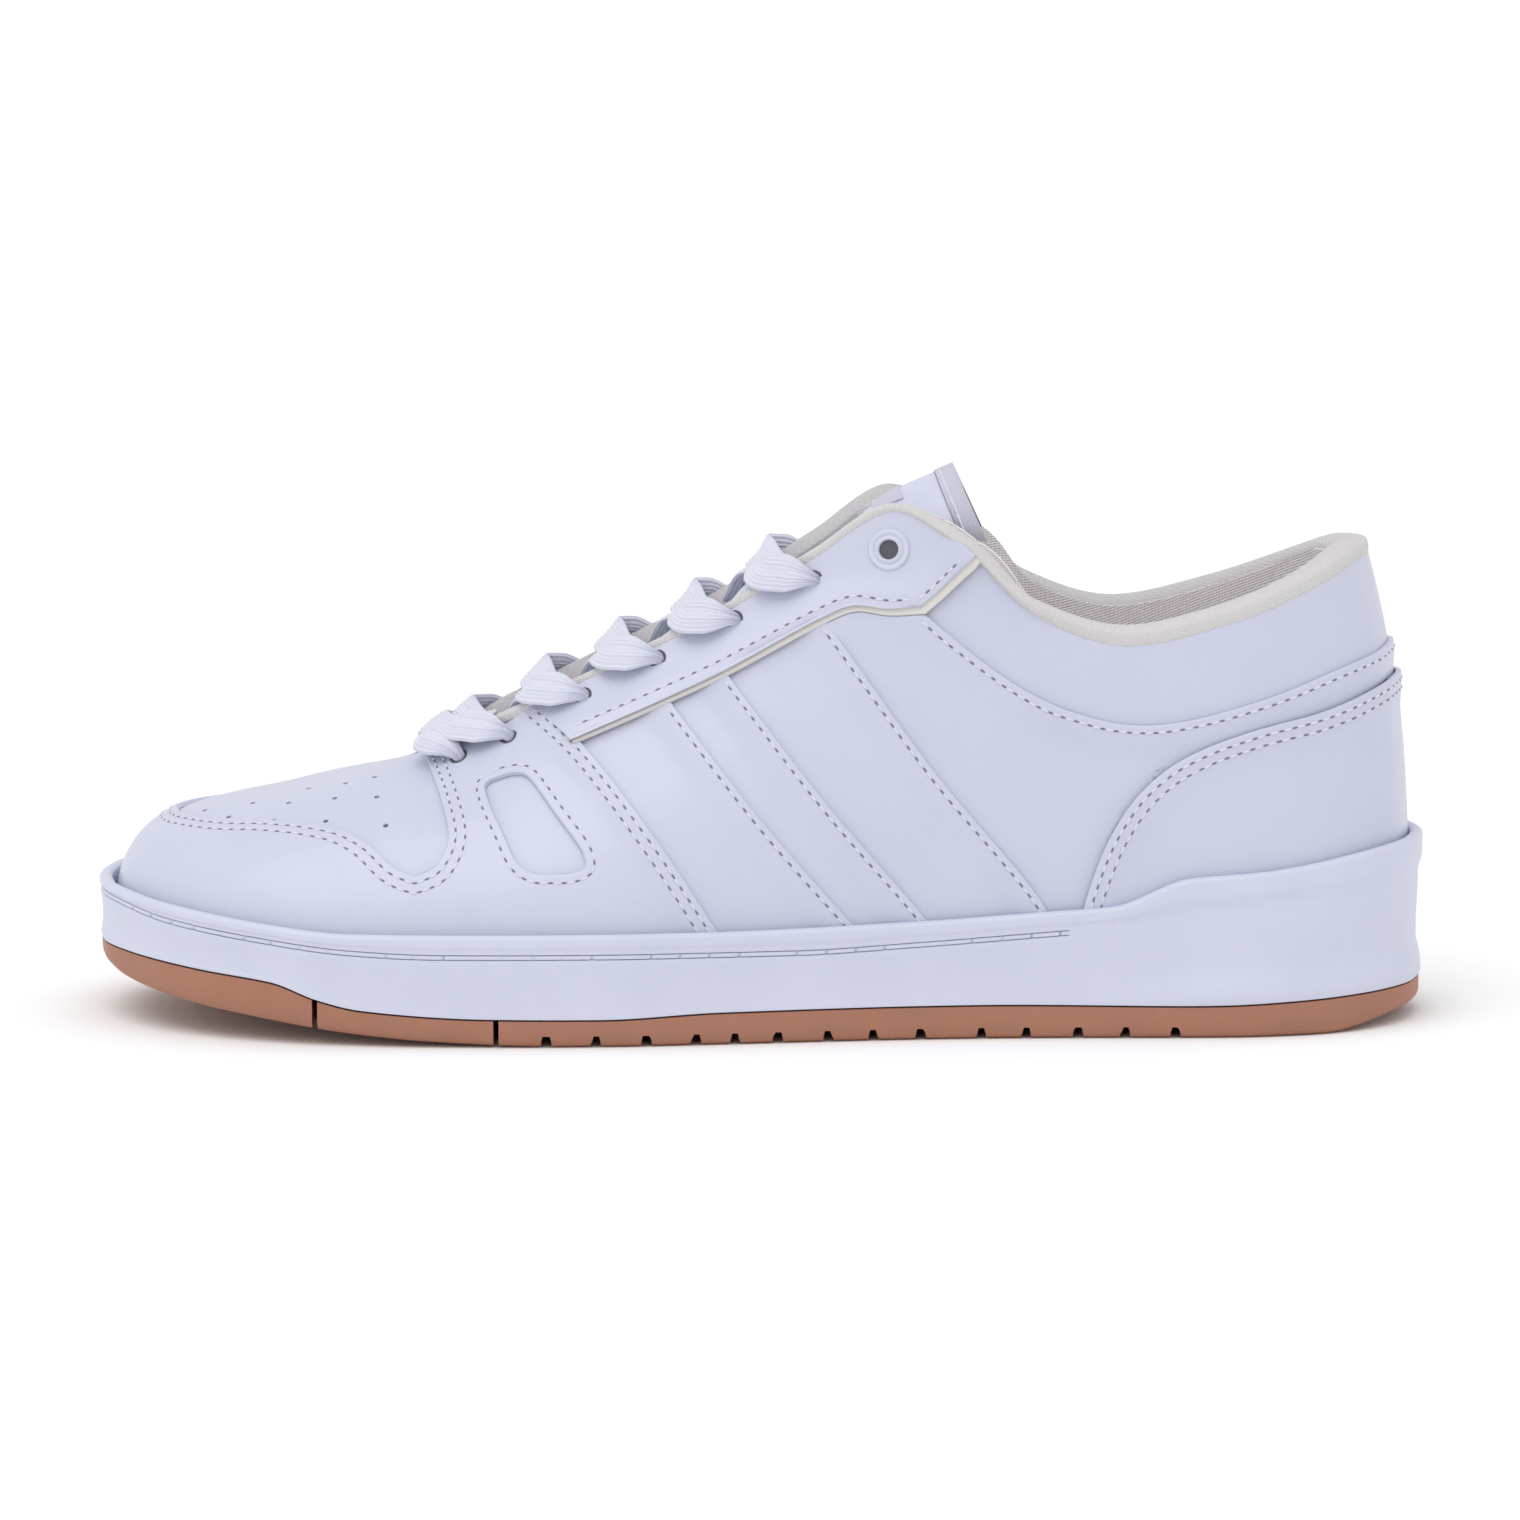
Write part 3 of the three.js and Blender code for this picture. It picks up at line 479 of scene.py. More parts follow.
GUM = gum_rubber()
for piece, low_x, high_x in (("outsole_toe", -149.4, SLITS[0] - SLIT_HALF),
                             ("outsole_forefoot", SLITS[0] + SLIT_HALF, SLITS[1] - SLIT_HALF),
                             ("outsole_rear", SLITS[1] + SLIT_HALF, 149.4)):
    gum = dress(gum_piece("gum_" + piece[8:], low_x, high_x), GUM)
    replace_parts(gum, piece)


# ---------------------------------------------------------------- the last
# Everything above the sole lies on one surface, the last's. Its columns rise from just inside
# the cup to the topline; t runs round the loop of stations and v up each column.
LAST_INSET = 6.1
LAST_FOOT = 0.6
NEWTON_STEPS = 3


def last(t, v):
    """The last's surface: a Bezier column at each t, upright at its foot, at its slope on top."""
    t, v = np.broadcast_arrays(np.asarray(t, float), np.asarray(v, float))
    s = stations(t)
    foot = outline(t, np.full(t.shape, LAST_INSET))
    foot = np.concatenate([foot, (bed(foot[..., 0]) + LAST_FOOT)[..., None]], -1)
    top = np.stack([s[..., 2], s[..., 5] + s[..., 3], s[..., 4]], -1)
    out = foot[..., :2] - top[..., :2]
    out /= np.linalg.norm(out, axis=-1, keepdims=True)
    slope = np.radians(s[..., 8])
    reach = np.concatenate([out * np.cos(slope)[..., None], -np.sin(slope)[..., None]], -1)
    a = foot + s[..., 6:7] * np.array([0, 0, 1.0])
    b = top + s[..., 7:8] * reach
    v = v[..., None]
    w = 1 - v
    return w**3 * foot + 3 * w * w * v * a + 3 * w * v * v * b + v**3 * top


def last_frame(t, v):
    """The two edge directions and the outward normal of the last at (t, v)."""
    e = 0.004
    v = np.clip(v, 0, 1 - e)
    along = (last(t + e, v) - last(t - e, v)) / (2 * e)
    up = (last(t, v + e) - last(t, v - e)) / (2 * e)
    normal = np.cross(along, up)
    return along, up, normal / np.linalg.norm(normal, axis=-1, keepdims=True)


def skin(grid, lift):
    """Points at a height over the last, at a grid of (t, v)."""
    t, v = grid[..., 0], grid[..., 1]
    normal = last_frame(t, v)[2]
    return last(t, v) + normal * np.broadcast_to(lift, t.shape)[..., None]


SIDE_T = np.linspace(0, HEEL, 721)
SIDE_V = np.linspace(0, 1, 241)
TABLE_T, TABLE_V = np.meshgrid(SIDE_T, SIDE_V, indexing="ij")
SIDE_TABLE = {side: last(TABLE_T if side < 0 else LOOP - TABLE_T, TABLE_V) for side in (-1, 1)}


def locate(points, side, axes=(0, 2)):
    """The (t, v) on one side of the shoe whose view along an axis is nearest to each point."""
    axes = list(axes)
    table = SIDE_TABLE[side][..., axes].reshape(-1, 2)
    found = []
    for p in np.asarray(points, float):
        k = np.argmin(((table - p) ** 2).sum(-1))
        t, v = TABLE_T.ravel()[k], TABLE_V.ravel()[k]
        tv = np.array([t if side < 0 else LOOP - t, v])
        for _step in range(NEWTON_STEPS):
            here = last(tv[0], tv[1])[axes]
            along, up, _normal = last_frame(tv[0], tv[1])
            jac = np.column_stack([along[axes], up[axes]])
            if abs(np.linalg.det(jac)) > 1e-3:
                step = np.linalg.solve(jac, p - here)
                tv = tv + np.clip(step, -0.1, 0.1)
        lo, hi = (0, HEEL) if side < 0 else (HEEL, LOOP)
        found.append([np.clip(tv[0], lo, hi), np.clip(tv[1], 0, 1)])
    return np.array(found)


def smooth_curve(points, count, fine=None):
    """A centripetal curve through points, worked out finely and resampled to even steps."""
    p = np.asarray(points, float)
    chord = np.r_[0, np.cumsum(np.sqrt(np.linalg.norm(np.diff(p, axis=0), axis=1)))]
    slope = np.gradient(p, chord, axis=0)
    u = np.linspace(0, chord[-1], fine or max(count * 8, 200))
    i = np.clip(np.searchsorted(chord, u, side="right") - 1, 0, len(p) - 2)
    h = (chord[i + 1] - chord[i])[:, None]
    s = (u - chord[i])[:, None] / h
    rise = p[i + 1] - p[i]
    a, b = slope[i] * h, slope[i + 1] * h
    dense = p[i] + s * (a + s * (3 * rise - 2 * a - b + s * (a + b - 2 * rise)))
    return resample(dense, count)


def resample(path, count, measure=None):
    """Even steps along a path, measured on the path itself or on its picture."""
    picture = path if measure is None else measure(path)
    run = np.r_[0, np.cumsum(np.linalg.norm(np.diff(picture, axis=0), axis=1))]
    want = np.linspace(0, run[-1], count)
    return np.column_stack([np.interp(want, run, path[:, k]) for k in range(path.shape[1])])


def on_last(path):
    """The points of a path of (t, v)."""
    return last(path[:, 0], path[:, 1])


def seam(points, side, count=60):
    """A seam drawn from the side as a path of (t, v): through points that lie on the last."""
    path = smooth_curve(points, count)
    return resample(locate(path, side), count, on_last)


def shift(path, distance):
    """A path moved sideways on the last, to the left of its run seen from outside."""
    along, up, normal = last_frame(path[:, 0], path[:, 1])
    run = np.gradient(on_last(path), axis=0)
    side = np.cross(normal, run)
    side /= np.linalg.norm(side, axis=1, keepdims=True)
    aa, bb, ab = (along * along).sum(1), (up * up).sum(1), (along * up).sum(1)
    sa, sb = (side * along).sum(1), (side * up).sum(1)
    det = aa * bb - ab * ab
    step = np.column_stack([(sa * bb - sb * ab) / det, (sb * aa - sa * ab) / det])
    return path + step * np.broadcast_to(distance, len(path))[:, None]


def patch(bottom, right, top, left, us, ws):
    """A grid of (t, v) between four boundary paths, blended from all four (a Coons patch)."""

    def at(path, share):
        n = np.linspace(0, 1, len(path))
        return np.column_stack([np.interp(share, n, path[:, k]) for k in (0, 1)])

    us, ws = np.asarray(us), np.asarray(ws)
    b, t, l, r = at(bottom, us), at(top, us), at(left, ws), at(right, ws)
    u, w = us[:, None, None], ws[None, :, None]
    ruled = (1 - w) * b[:, None] + w * t[:, None] + (1 - u) * l[None] + u * r[None]
    corners = ((1 - u) * (1 - w) * b[0] + u * (1 - w) * b[-1] + (1 - u) * w * t[0] + u * w * t[-1])
    return ruled - corners


# ---------------------------------------------------------------- leather and its stitching
# Smooth coated leather, 1.2 mm thick; the cream raw-edge finish is used only for the eyestay backing. Each
# overlay lies with one edge raised over the next and is sewn down beside that edge.
LEATHER = 1.2
PANEL_LOW = 1.3
PANEL_RISE = 1.3
RISE_RUN = 9.0
LAST_EDGE = 0.985
TUCK = 1.6
ROUNDING = 0.45
STITCH_PITCH = 2.9
STITCH_HALF, SLOT_HALF = 0.85, 0.6
THREAD_THICK = 0.3
EDGE_STEPS = (0.08, 0.2, 0.36, 0.6, 1.2)
CLOSE_TO_EDGE = 1.9


def arc_lengths(grid, axis):
    """Distance run along one axis of a grid of points, from its first line."""
    step = np.linalg.norm(np.diff(grid, axis=axis), axis=-1)
    start = np.zeros_like(np.take(step, [0], axis))
    return np.cumsum(np.concatenate([start, step], axis), axis)


def grid_uv(grid):
    """Each point's run along the two directions of its grid, in millimetres."""
    return np.stack([arc_lengths(grid, 0), arc_lengths(grid, 1)], -1)


def closed_shell(name, low, high, wrap=False):
    """A closed body between two grids of the same shape: both faces and the rim that joins them."""
    rows, columns = low.shape[:2]
    count = rows * columns
    ids = np.arange(count).reshape(rows, columns)
    faces = [grid_faces(rows, columns, 0, wrap), grid_faces(rows, columns, count, wrap)[:, ::-1]]
    edges = []
    for line in (ids[:, 0], ids[:, -1]):
        nxt = np.roll(line, -1)
        edges.append((line, nxt) if wrap else (line[:-1], line[1:]))
    if not wrap:
        edges += [(ids[0][:-1], ids[0][1:]), (ids[-1][:-1], ids[-1][1:])]
    for a, b in edges:
        faces.append(np.stack([a, b, b + count, a + count], -1))
    uv = grid_uv(high)
    return solid(name, np.concatenate([low.reshape(-1, 3), high.reshape(-1, 3)]), np.concatenate(faces),
                 np.concatenate([uv.reshape(-1, 2)] * 2), dissolve=True)


def leather(name, pale, dark):
    """Coated leather: a faint cloud in its colour, a soft gloss, pores and a broader grain."""
    made = Finish(name)
    cloud = made.noise(38, 4)
    made.set("Base Color", made.mix(cloud, dark, pale))
    made.set("Roughness", made.noise(220, 3) * 0.16 + 0.30)
    made.set("Coat Weight", 0.12)
    made.bump(made.noise(900, 6), 0.00010, 0.35)
    made.bump(made.noise(150, 2), 0.0004, 0.25)
    return made


LEATHER_FINISH = leather("leather", (0.59, 0.61, 0.735), (0.54, 0.56, 0.69))
RAW_EDGE = Finish("raw_edge", base_color=(0.70, 0.68, 0.64), roughness=0.85)
THREAD = Finish("thread", base_color=(0.66, 0.675, 0.76), roughness=0.6)
# painted shade: a dark colour for the dashes that stand for the shaded needle slots between stitches
NEEDLE_HOLE_SHADE = Finish("needle_hole_shade", base_color=(0.20, 0.19, 0.24), roughness=0.9)


def spaced(length, over_low, over_high, pitch=1.6):
    """Shares along an edge: even steps, with close ones beside the raised ends for their rounding."""
    even = np.linspace(0, 1, max(int(length / pitch), 4))
    near = CLOSE_TO_EDGE / length
    keep = [s for s in even if not (over_low and 0 < s < near or over_high and 1 - near < s < 1)]
    close = [d / length for d in EDGE_STEPS]
    keep += close * bool(over_low) + [1 - share for share in close] * bool(over_high)
    return np.array(sorted(set(keep)))


def path_length(path):
    """A path's length on the last, in millimetres."""
    return np.linalg.norm(np.diff(on_last(path), axis=0), axis=1).sum()


def extended(grid, tucked):
    """The grid carried on past its tucked edges by a flat row, square to each edge."""
    for edge, wanted in enumerate(tucked):
        if wanted:
            axis, flip = edge // 2, -1 if edge % 2 else 1
            lines = np.moveaxis(grid, axis, 0)[::flip]
            p, q = lines[:1], lines[1:2]
            gap = np.linalg.norm(last(p[..., 0], p[..., 1]) - last(q[..., 0], q[..., 1]), axis=-1)
            lines = np.concatenate([p + (p - q) * (TUCK / gap)[..., None], lines])
            grid = np.moveaxis(lines[::flip], 0, axis)
    return grid


def line_distance(grid, lines):
    """Each point's distance to the nearest of some paths, in millimetres."""
    points = last(grid[..., 0], grid[..., 1]).reshape(-1, 3)
    far = np.full(len(points), 1e3)
    for line in lines:
        a = on_last(line)
        step = np.diff(a, axis=0)
        length = np.maximum((step * step).sum(1), 1e-9)
        for start in range(0, len(points), 2000):
            p = points[start:start + 2000, None]
            share = np.clip(((p - a[:-1]) * step).sum(-1) / length, 0, 1)
            gap = np.linalg.norm(p - a[:-1] - share[..., None] * step, axis=-1).min(1)
            far[start:start + 2000] = np.minimum(far[start:start + 2000], gap)
    return far.reshape(grid.shape[:2])


def panel_lift(distance):
    """How far a panel's underside stands over the last at a distance from its raised edge."""
    return PANEL_LOW + PANEL_RISE * (1 - smoothstep(distance, 0.5, RISE_RUN))


def rounded(distance):
    """How far a cut edge's rounding drops at a distance from the edge: a quarter circle."""
    d = np.clip(ROUNDING - distance, 0, ROUNDING)
    return ROUNDING - np.sqrt(ROUNDING**2 - d**2)


def panel_grid(bottom, right, top, left, over, pitch=1.6):
    """A patch between four paths, spaced for the edges that are raised."""
    us = spaced((path_length(bottom) + path_length(top)) / 2, over[0], over[1], pitch)
    ws = spaced((path_length(left) + path_length(right)) / 2, over[2], over[3], pitch)
    return patch(bottom, right, top, left, us, ws)


def panel(name, grid, over, tucked, thick=LEATHER, extra=0.0):
    """A leather overlay on a (t, v) grid; over and tucked say it for left, right, bottom, top."""
    edges = (grid[0], grid[-1], grid[:, 0], grid[:, -1])
    distance = line_distance(grid, [line for line, raised in zip(edges, over) if raised])
    grid = extended(grid, tucked)
    pad = ((int(tucked[0]), int(tucked[1])), (int(tucked[2]), int(tucked[3])))
    distance = np.pad(distance, pad, mode="edge")
    low = panel_lift(distance) + extra
    high = low + thick - rounded(distance)
    return closed_shell(name, skin(grid, low), skin(grid, high))


def stitches(name, paths, body="root"):
    """Rows of stitches: low threads, six-sided and tapered, with a dark dash of painted shade for the
    needle slot between each two.
    """
    ring = 6
    share = np.array([-1, -0.86, -0.45, 0, 0.45, 0.86, 1.0])
    swell = np.sqrt(np.clip(1 - np.abs(share) ** 3, 0, 1)) * THREAD_THICK
    angle = np.arange(ring) * 2 * np.pi / ring
    threads, holes = [], []
    for path, lift in paths:
        points = on_last(path)
        run = np.r_[0, np.cumsum(np.linalg.norm(np.diff(points, axis=0), axis=1))]
        count = max(int(run[-1] / STITCH_PITCH), 1)
        step = run[-1] / count
        middle, slot = (np.arange(count) + 0.5) * step, np.arange(1, count) * step
        for group, centre, half, flat, radius in ((threads, middle, STITCH_HALF, 0.75, swell),
                                                  (holes, slot, SLOT_HALF, 0.16, swell * 0.8)):
            s = centre[:, None] + share[None] * half
            tv = np.stack([np.interp(s, run, path[:, k]) for k in (0, 1)], -1)
            height = np.interp(s, run, np.broadcast_to(lift, run.shape))[..., None]
            along, up, normal = last_frame(tv[..., 0], tv[..., 1])
            at = last(tv[..., 0], tv[..., 1]) + normal * height
            tangent = np.gradient(at, axis=1)
            tangent /= np.linalg.norm(tangent, axis=-1, keepdims=True)
            side = np.cross(normal, tangent)
            section = (side[:, :, None] * np.cos(angle)[:, None]
                       + normal[:, :, None] * (flat * np.sin(angle))[:, None])
            group.append(at[:, :, None] + section * np.maximum(radius, 0.01)[None, :, None, None])
    # the holes rows are dark dashes of painted shade in the needle slots
    for key, group, finish in (("thread", threads, THREAD), ("holes", holes, NEEDLE_HOLE_SHADE)):
        rows = np.concatenate(group)
        count, rings = rows.shape[:2]
        one = grid_faces(rings, ring + 1)
        one = np.where(one % (ring + 1) == ring, one - ring, one)
        one = one // (ring + 1) * ring + one % (ring + 1)
        faces = (one[None] + (np.arange(count) * rings * ring)[:, None, None]).reshape(-1, 4)
        dress(solid(f"{name}_{key}", rows, faces, dissolve=True), finish, body)


# the seams, drawn from the side as (x, z) places
TOE_SEAM = [(-129, 43.4), (-119, 43.6), (-110, 44.2), (-101, 44.4), (-92, 43.4), (-86, 41),
            (-80.5, 37), (-76, 35.4)]
EAR_SEAM = [(-76, 35.4), (-71.5, 37.4), (-68.8, 42.5), (-70.5, 49), (-74, 56)]
LINE_1 = [(-52, 72), (-39, 62.4), (-24.4, 45.7), (-10, 25), (-4, 15)]
LINE_2 = [(-19, 71.6), (0, 48), (20, 25.7), (28, 16)]
LINE_3 = [(-6.3, 77.8), (15, 51), (36.5, 26.5), (45, 15)]
LINE_4 = [(15.5, 90), (39, 58), (63.4, 28.4), (67, 18)]
EYESTAY_SEAM = [(-39, 62.4), (-19, 71.6), (-6.3, 77.8), (15.5, 90), (22, 92.7), (29, 92.1), (37, 92.7)]
EYESTAY_END = [(37, 92.7), (44, 99), (50.5, 105.7), (54, 110)]
COLLAR_SEAM = [(37, 92.7), (44, 86.7), (52.4, 80.7), (60.8, 75.6), (70, 71.9), (77, 69.8),
               (85.4, 69.1), (94.5, 70.1), (105, 72.7), (116, 76.2), (127, 80.2), (136, 82.8)]
HEEL_SEAM = [(69.5, 17), (71.6, 29), (75.3, 40), (78.8, 47), (83.7, 54), (90.7, 60), (97.8, 63.8),
             (105, 66.5), (112, 68.6), (123.5, 71.2), (136, 75.5)]
WINDOW = [(-59, 54.2), (-55, 55.6), (-52, 55.8), (-50.5, 54.9), (-45, 48.5), (-38.9, 40.8),
          (-38.4, 38.1), (-41.3, 36.8), (-45.5, 36.5), (-49.6, 36.5), (-53.1, 38.4), (-56.5, 44.3),
          (-60, 50.7), (-60.5, 53.2), (-59, 54.2)]
FOOT = 0.03
# how high the seams cross the middle line, at the toe and at the heel
TOE_HIGH, COLLAR_HIGH, HEEL_HIGH = 43.6, 84.2, 77.0


def column_hit(t, height):
    """The v at which the column t reaches a height."""
    v = np.linspace(0, 1, 2001)
    return v[np.argmax(last(np.full(v.shape, float(t)), v)[:, 2] >= height)]


def to_end(path, t, v):
    """A path carried on to one more place."""
    joined = np.vstack([path, [[t, v]]])
    return resample(joined, len(path) + 8, on_last)


def up_to_edge(path):
    """A path that runs to the last's upper edge, cut or carried on to end just on it."""
    beyond = path[:, 1] >= LAST_EDGE
    if not beyond.any():
        return to_end(path, path[-1, 0], LAST_EDGE)
    k = max(int(np.argmax(beyond)), 1)
    share = (LAST_EDGE - path[k - 1, 1]) / (path[k, 1] - path[k - 1, 1])
    end = path[k - 1] + share * (path[k] - path[k - 1])
    return resample(np.vstack([path[:k], end]), len(path), on_last)


def side_paths(side):
    """All the seams on one side as (t, v) paths, running toward the heel or toward the foot."""
    front = 0.0 if side < 0 else float(LOOP)
    toe = np.vstack([[[front, column_hit(front, TOE_HIGH)]], seam(TOE_SEAM, side, 80)])
    made = {"toe": resample(toe, 90, on_last), "ear": up_to_edge(seam(EAR_SEAM, side))}
    for key, points in (("line_1", LINE_1), ("line_2", LINE_2), ("line_3", LINE_3),
                        ("line_4", LINE_4), ("eyestay", EYESTAY_SEAM), ("eyestay_end", EYESTAY_END),
                        ("window", WINDOW)):
        made[key] = seam(points, side, 80)
    for key, points, height in (("collar", COLLAR_SEAM, COLLAR_HIGH), ("heel", HEEL_SEAM, HEEL_HIGH)):
        made[key] = to_end(seam(points, side, 120), HEEL, column_hit(HEEL, height))
    made["eyestay_end"] = up_to_edge(made["eyestay_end"])
    made["line_1"] = up_to_edge(made["line_1"][::-1])[::-1]
    for key in ("line_1", "line_2", "line_3", "line_4"):
        made[key][-1, 1] = max(made[key][-1, 1], FOOT)
    return made


def straight(a, b, count=40):
    """An even path of (t, v) from one place to another."""
    return np.linspace(np.asarray(a, float), np.asarray(b, float), count)


def between(path, low, high):
    """The stretch of a path between two shares of its length."""
    share = np.linspace(low, high, 60)
    at = np.linspace(0, 1, len(path))
    return np.column_stack([np.interp(share, at, path[:, k]) for k in (0, 1)])


def nearest_share(path, point):
    """How far along a path it passes an (x, z) point."""
    p = on_last(path)[:, [0, 2]]
    return np.argmin(((p - np.asarray(point, float)) ** 2).sum(1)) / (len(path) - 1)


PATHS = {side: side_paths(side) for side in (-1, 1)}
SIDE_NAMES = ((-1, "lateral"), (1, "medial"))

# ---------------------------------------------------------------- base leather
# The vamp and the two quarters, one layer of leather pulled over the last, which show between the
# overlays. The vamp is punched with small holes over the toes.
VAMP_END = 5.5
# how far back and how far from the middle line each perforation sits
PERFORATIONS = [(-83, 33), (-96.5, 29), (-108.5, 24), (-119, 17), (-125, 9), (-85.5, 23), (-95, 20.5),
                (-105.5, 17), (-114, 12), (-86.5, 12.5), (-93, 13), (-101.5, 10)]
PERFORATION = 0.62
MIDDLE = 4.0
UNDER_CUP = 0.02


def base_grid(t0, t1, v0, v1, rows, columns):
    """An even grid of (t, v)."""
    t = np.linspace(t0, t1, rows)
    v = np.linspace(v0, v1, columns)
    return np.stack(np.meshgrid(t, v, indexing="ij"), -1)


def base_leather(name, grid):
    """A layer of leather that lies straight on the last."""
    return closed_shell(name, skin(grid, 0.0), skin(grid, LEATHER))


def drilled(obj, places, radius, depth=3.0, sides=14):
    """A piece with round holes cut through it, square to the last at each (t, v)."""
    angle = np.arange(sides) * 2 * np.pi / sides
    points, faces = [], []
    for t, v in places:
        along, _up, normal = last_frame(np.array(t), np.array(v))
        along = along / np.linalg.norm(along)
        other = np.cross(normal, along)
        circle = along * np.cos(angle)[:, None] + other * np.sin(angle)[:, None]
        at = last(np.array(t), np.array(v)) + circle * radius
        start = 2 * sides * (len(faces) // (sides + 2))
        points += [at - normal * depth, at + normal * (depth + 2)]
        k = np.arange(sides)
        n = (k + 1) % sides
        faces += (np.stack([k, n, n + sides, k + sides], 1) + start).tolist()
        faces += [(k[::-1] + start).tolist(), (k + sides + start).tolist()]
    cutter = solid("drill", np.concatenate(points), faces)
    bpy.context.collection.objects.link(cutter)
    bpy.context.collection.objects.link(obj)
    boolean = obj.modifiers.new("holes", "BOOLEAN")
    boolean.operation, boolean.solver, boolean.object = "DIFFERENCE", "EXACT", cutter
    bpy.context.view_layer.update()
    shape = obj.evaluated_get(bpy.context.evaluated_depsgraph_get())
    cut_mesh = bpy.data.meshes.new_from_object(shape)
    obj.modifiers.clear()
    bpy.context.collection.objects.unlink(obj)
    obj.data = cut_mesh
    bpy.data.objects.remove(cutter)
    return obj


places = []
for side in (-1, 1):
    places += locate([(x, MIDDLE + side * y) for x, y in PERFORATIONS], side, (0, 1)).tolist()
# both halves of the vamp meet on the middle line, which is each column's top
vamp = base_leather("vamp", base_grid(-VAMP_END, VAMP_END, UNDER_CUP, 1.0, 221, 60))
vamp = dress(drilled(vamp, places, PERFORATION), LEATHER_FINISH)
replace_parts(vamp, "vamp")
for side, word in SIDE_NAMES:
    ends = (VAMP_END + 0.02, HEEL - 0.01)
    ends = ends if side < 0 else (LOOP - ends[1], LOOP - ends[0])
    quarter = base_leather("quarter_" + word, base_grid(*ends, UNDER_CUP, LAST_EDGE, 180, 40))
    dress(quarter, LEATHER_FINISH)
    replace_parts(quarter, "quarter_" + word)

# ---------------------------------------------------------------- side panels and quarter overlay
# Three slanting panels on each side, each laid over the one behind, then the quarter overlay that
# runs on round the heel under the heel overlay.
STRIPE_TOPS = EYESTAY_SEAM[:4]
COLLAR_BEND, HEEL_FOOT = (52.4, 80.7), (75.3, 40)


def slanted(side, front, rear, top_from, top_to):
    """A panel between two slanting seams, from the eyestay seam down into the cup."""
    p = PATHS[side]
    left, right = p[front][::-1], p[rear][::-1]
    top = straight(left[-1], right[-1])
    a, b = nearest_share(p["eyestay"], top_from), nearest_share(p["eyestay"], top_to)
    if b > a:
        top = between(p["eyestay"], a, b)
        top[0], top[-1] = left[-1], right[-1]
    return straight(left[0], right[0]), right, top, left


for side, word in SIDE_NAMES:
    p = PATHS[side]
    p["line_1_low"] = between(p["line_1"], nearest_share(p["line_1"], STRIPE_TOPS[0]), 1.0)
    seams = ("line_1_low", "line_2", "line_3", "line_4")
    for n, place in enumerate(("front", "mid", "rear")):
        over = (False, True, False, False)
        grid = panel_grid(*slanted(side, *seams[n:n + 2], *STRIPE_TOPS[n:n + 2]), over)
        made = dress(panel(f"side_panel_{place}_{word}", grid, over, (True, False, False, True)),
                     LEATHER_FINISH)
        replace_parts(made, f"side_panel_{place}_{word}")
    # the quarter overlay, whose long edges keep their corners on even shares
    collar, heel, left = p["collar"], p["heel"], p["line_4"][::-1]
    top_start = between(p["eyestay"], nearest_share(p["eyestay"], STRIPE_TOPS[3]), 1.0)
    bend, foot = nearest_share(collar, COLLAR_BEND), nearest_share(heel, HEEL_FOOT)
    top_start = np.vstack([top_start, between(collar, 0, bend)[1:]])
    top = np.vstack([resample(top_start, 60, on_last)[:-1],
                     resample(between(collar, bend, 1.0), 121, on_last)])
    bottom = np.vstack([straight(left[0], heel[0], 30)[:-1],
                        resample(between(heel, 0, foot), 31, on_last)[:-1],
                        resample(between(heel, foot, 1.0), 121, on_last)])
    top[0] = left[-1]
    right = straight(bottom[-1], top[-1], 20)
    over = (False, False, False, True)
    grid = panel_grid(bottom, right, top, left, over)
    made = dress(panel("quarter_overlay_" + word, grid, over, (True, False, True, False)),
                 LEATHER_FINISH)
    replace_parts(made, "quarter_overlay_" + word)

# ---------------------------------------------------------------- collar panel and heel overlay
# Two pieces of leather that each pass round the heel in one: the collar panel under the topline,
# tucked under the quarter overlay, and the heel overlay sewn on top of it.
HEEL_BEND = (83.7, 54)
HEEL_OVERLAY_EXTRA = 0.6

collar_ends = [PATHS[side]["eyestay_end"] for side in (-1, 1)]
top = straight(*[(end[-1, 0], LAST_EDGE) for end in collar_ends], 200)
collar_line = np.vstack([PATHS[-1]["collar"], PATHS[1]["collar"][::-1][1:]])
over = (False, False, False, False)
grid = panel_grid(collar_line, collar_ends[1], top, collar_ends[0], over)
collar_panel = dress(panel("collar_panel", grid, over, (True, True, True, False)),
                     LEATHER_FINISH)
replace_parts(collar_panel, "collar_panel")

heel_bends = [nearest_share(PATHS[side]["heel"], HEEL_BEND) for side in (-1, 1)]
heel_left, heel_right = [between(PATHS[side]["heel"], 0, bend) for side, bend in zip((-1, 1), heel_bends)]
heel_top = np.vstack([between(PATHS[-1]["heel"], heel_bends[0], 1),
                      between(PATHS[1]["heel"], heel_bends[1], 1)[::-1][1:]])
over = (True, True, False, True)
grid = panel_grid(straight(heel_left[0], heel_right[0], 120), heel_right, heel_top, heel_left, over)
heel_overlay = dress(panel("heel_overlay", grid, over, (False,) * 4, extra=HEEL_OVERLAY_EXTRA),
                     LEATHER_FINISH)
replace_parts(heel_overlay, "heel_overlay")

# ---------------------------------------------------------------- eyestays
# The lacing strip on each side: leather over a cream backing that shows as a narrow strip past its
# lower edge and its rear end. Both are sewn down over the side panels.
EYESTAY_SHOW = 1.8
EYESTAY_EXTRA = 1.3
BACKING = 1.0
BACKING_BELOW = 0.65

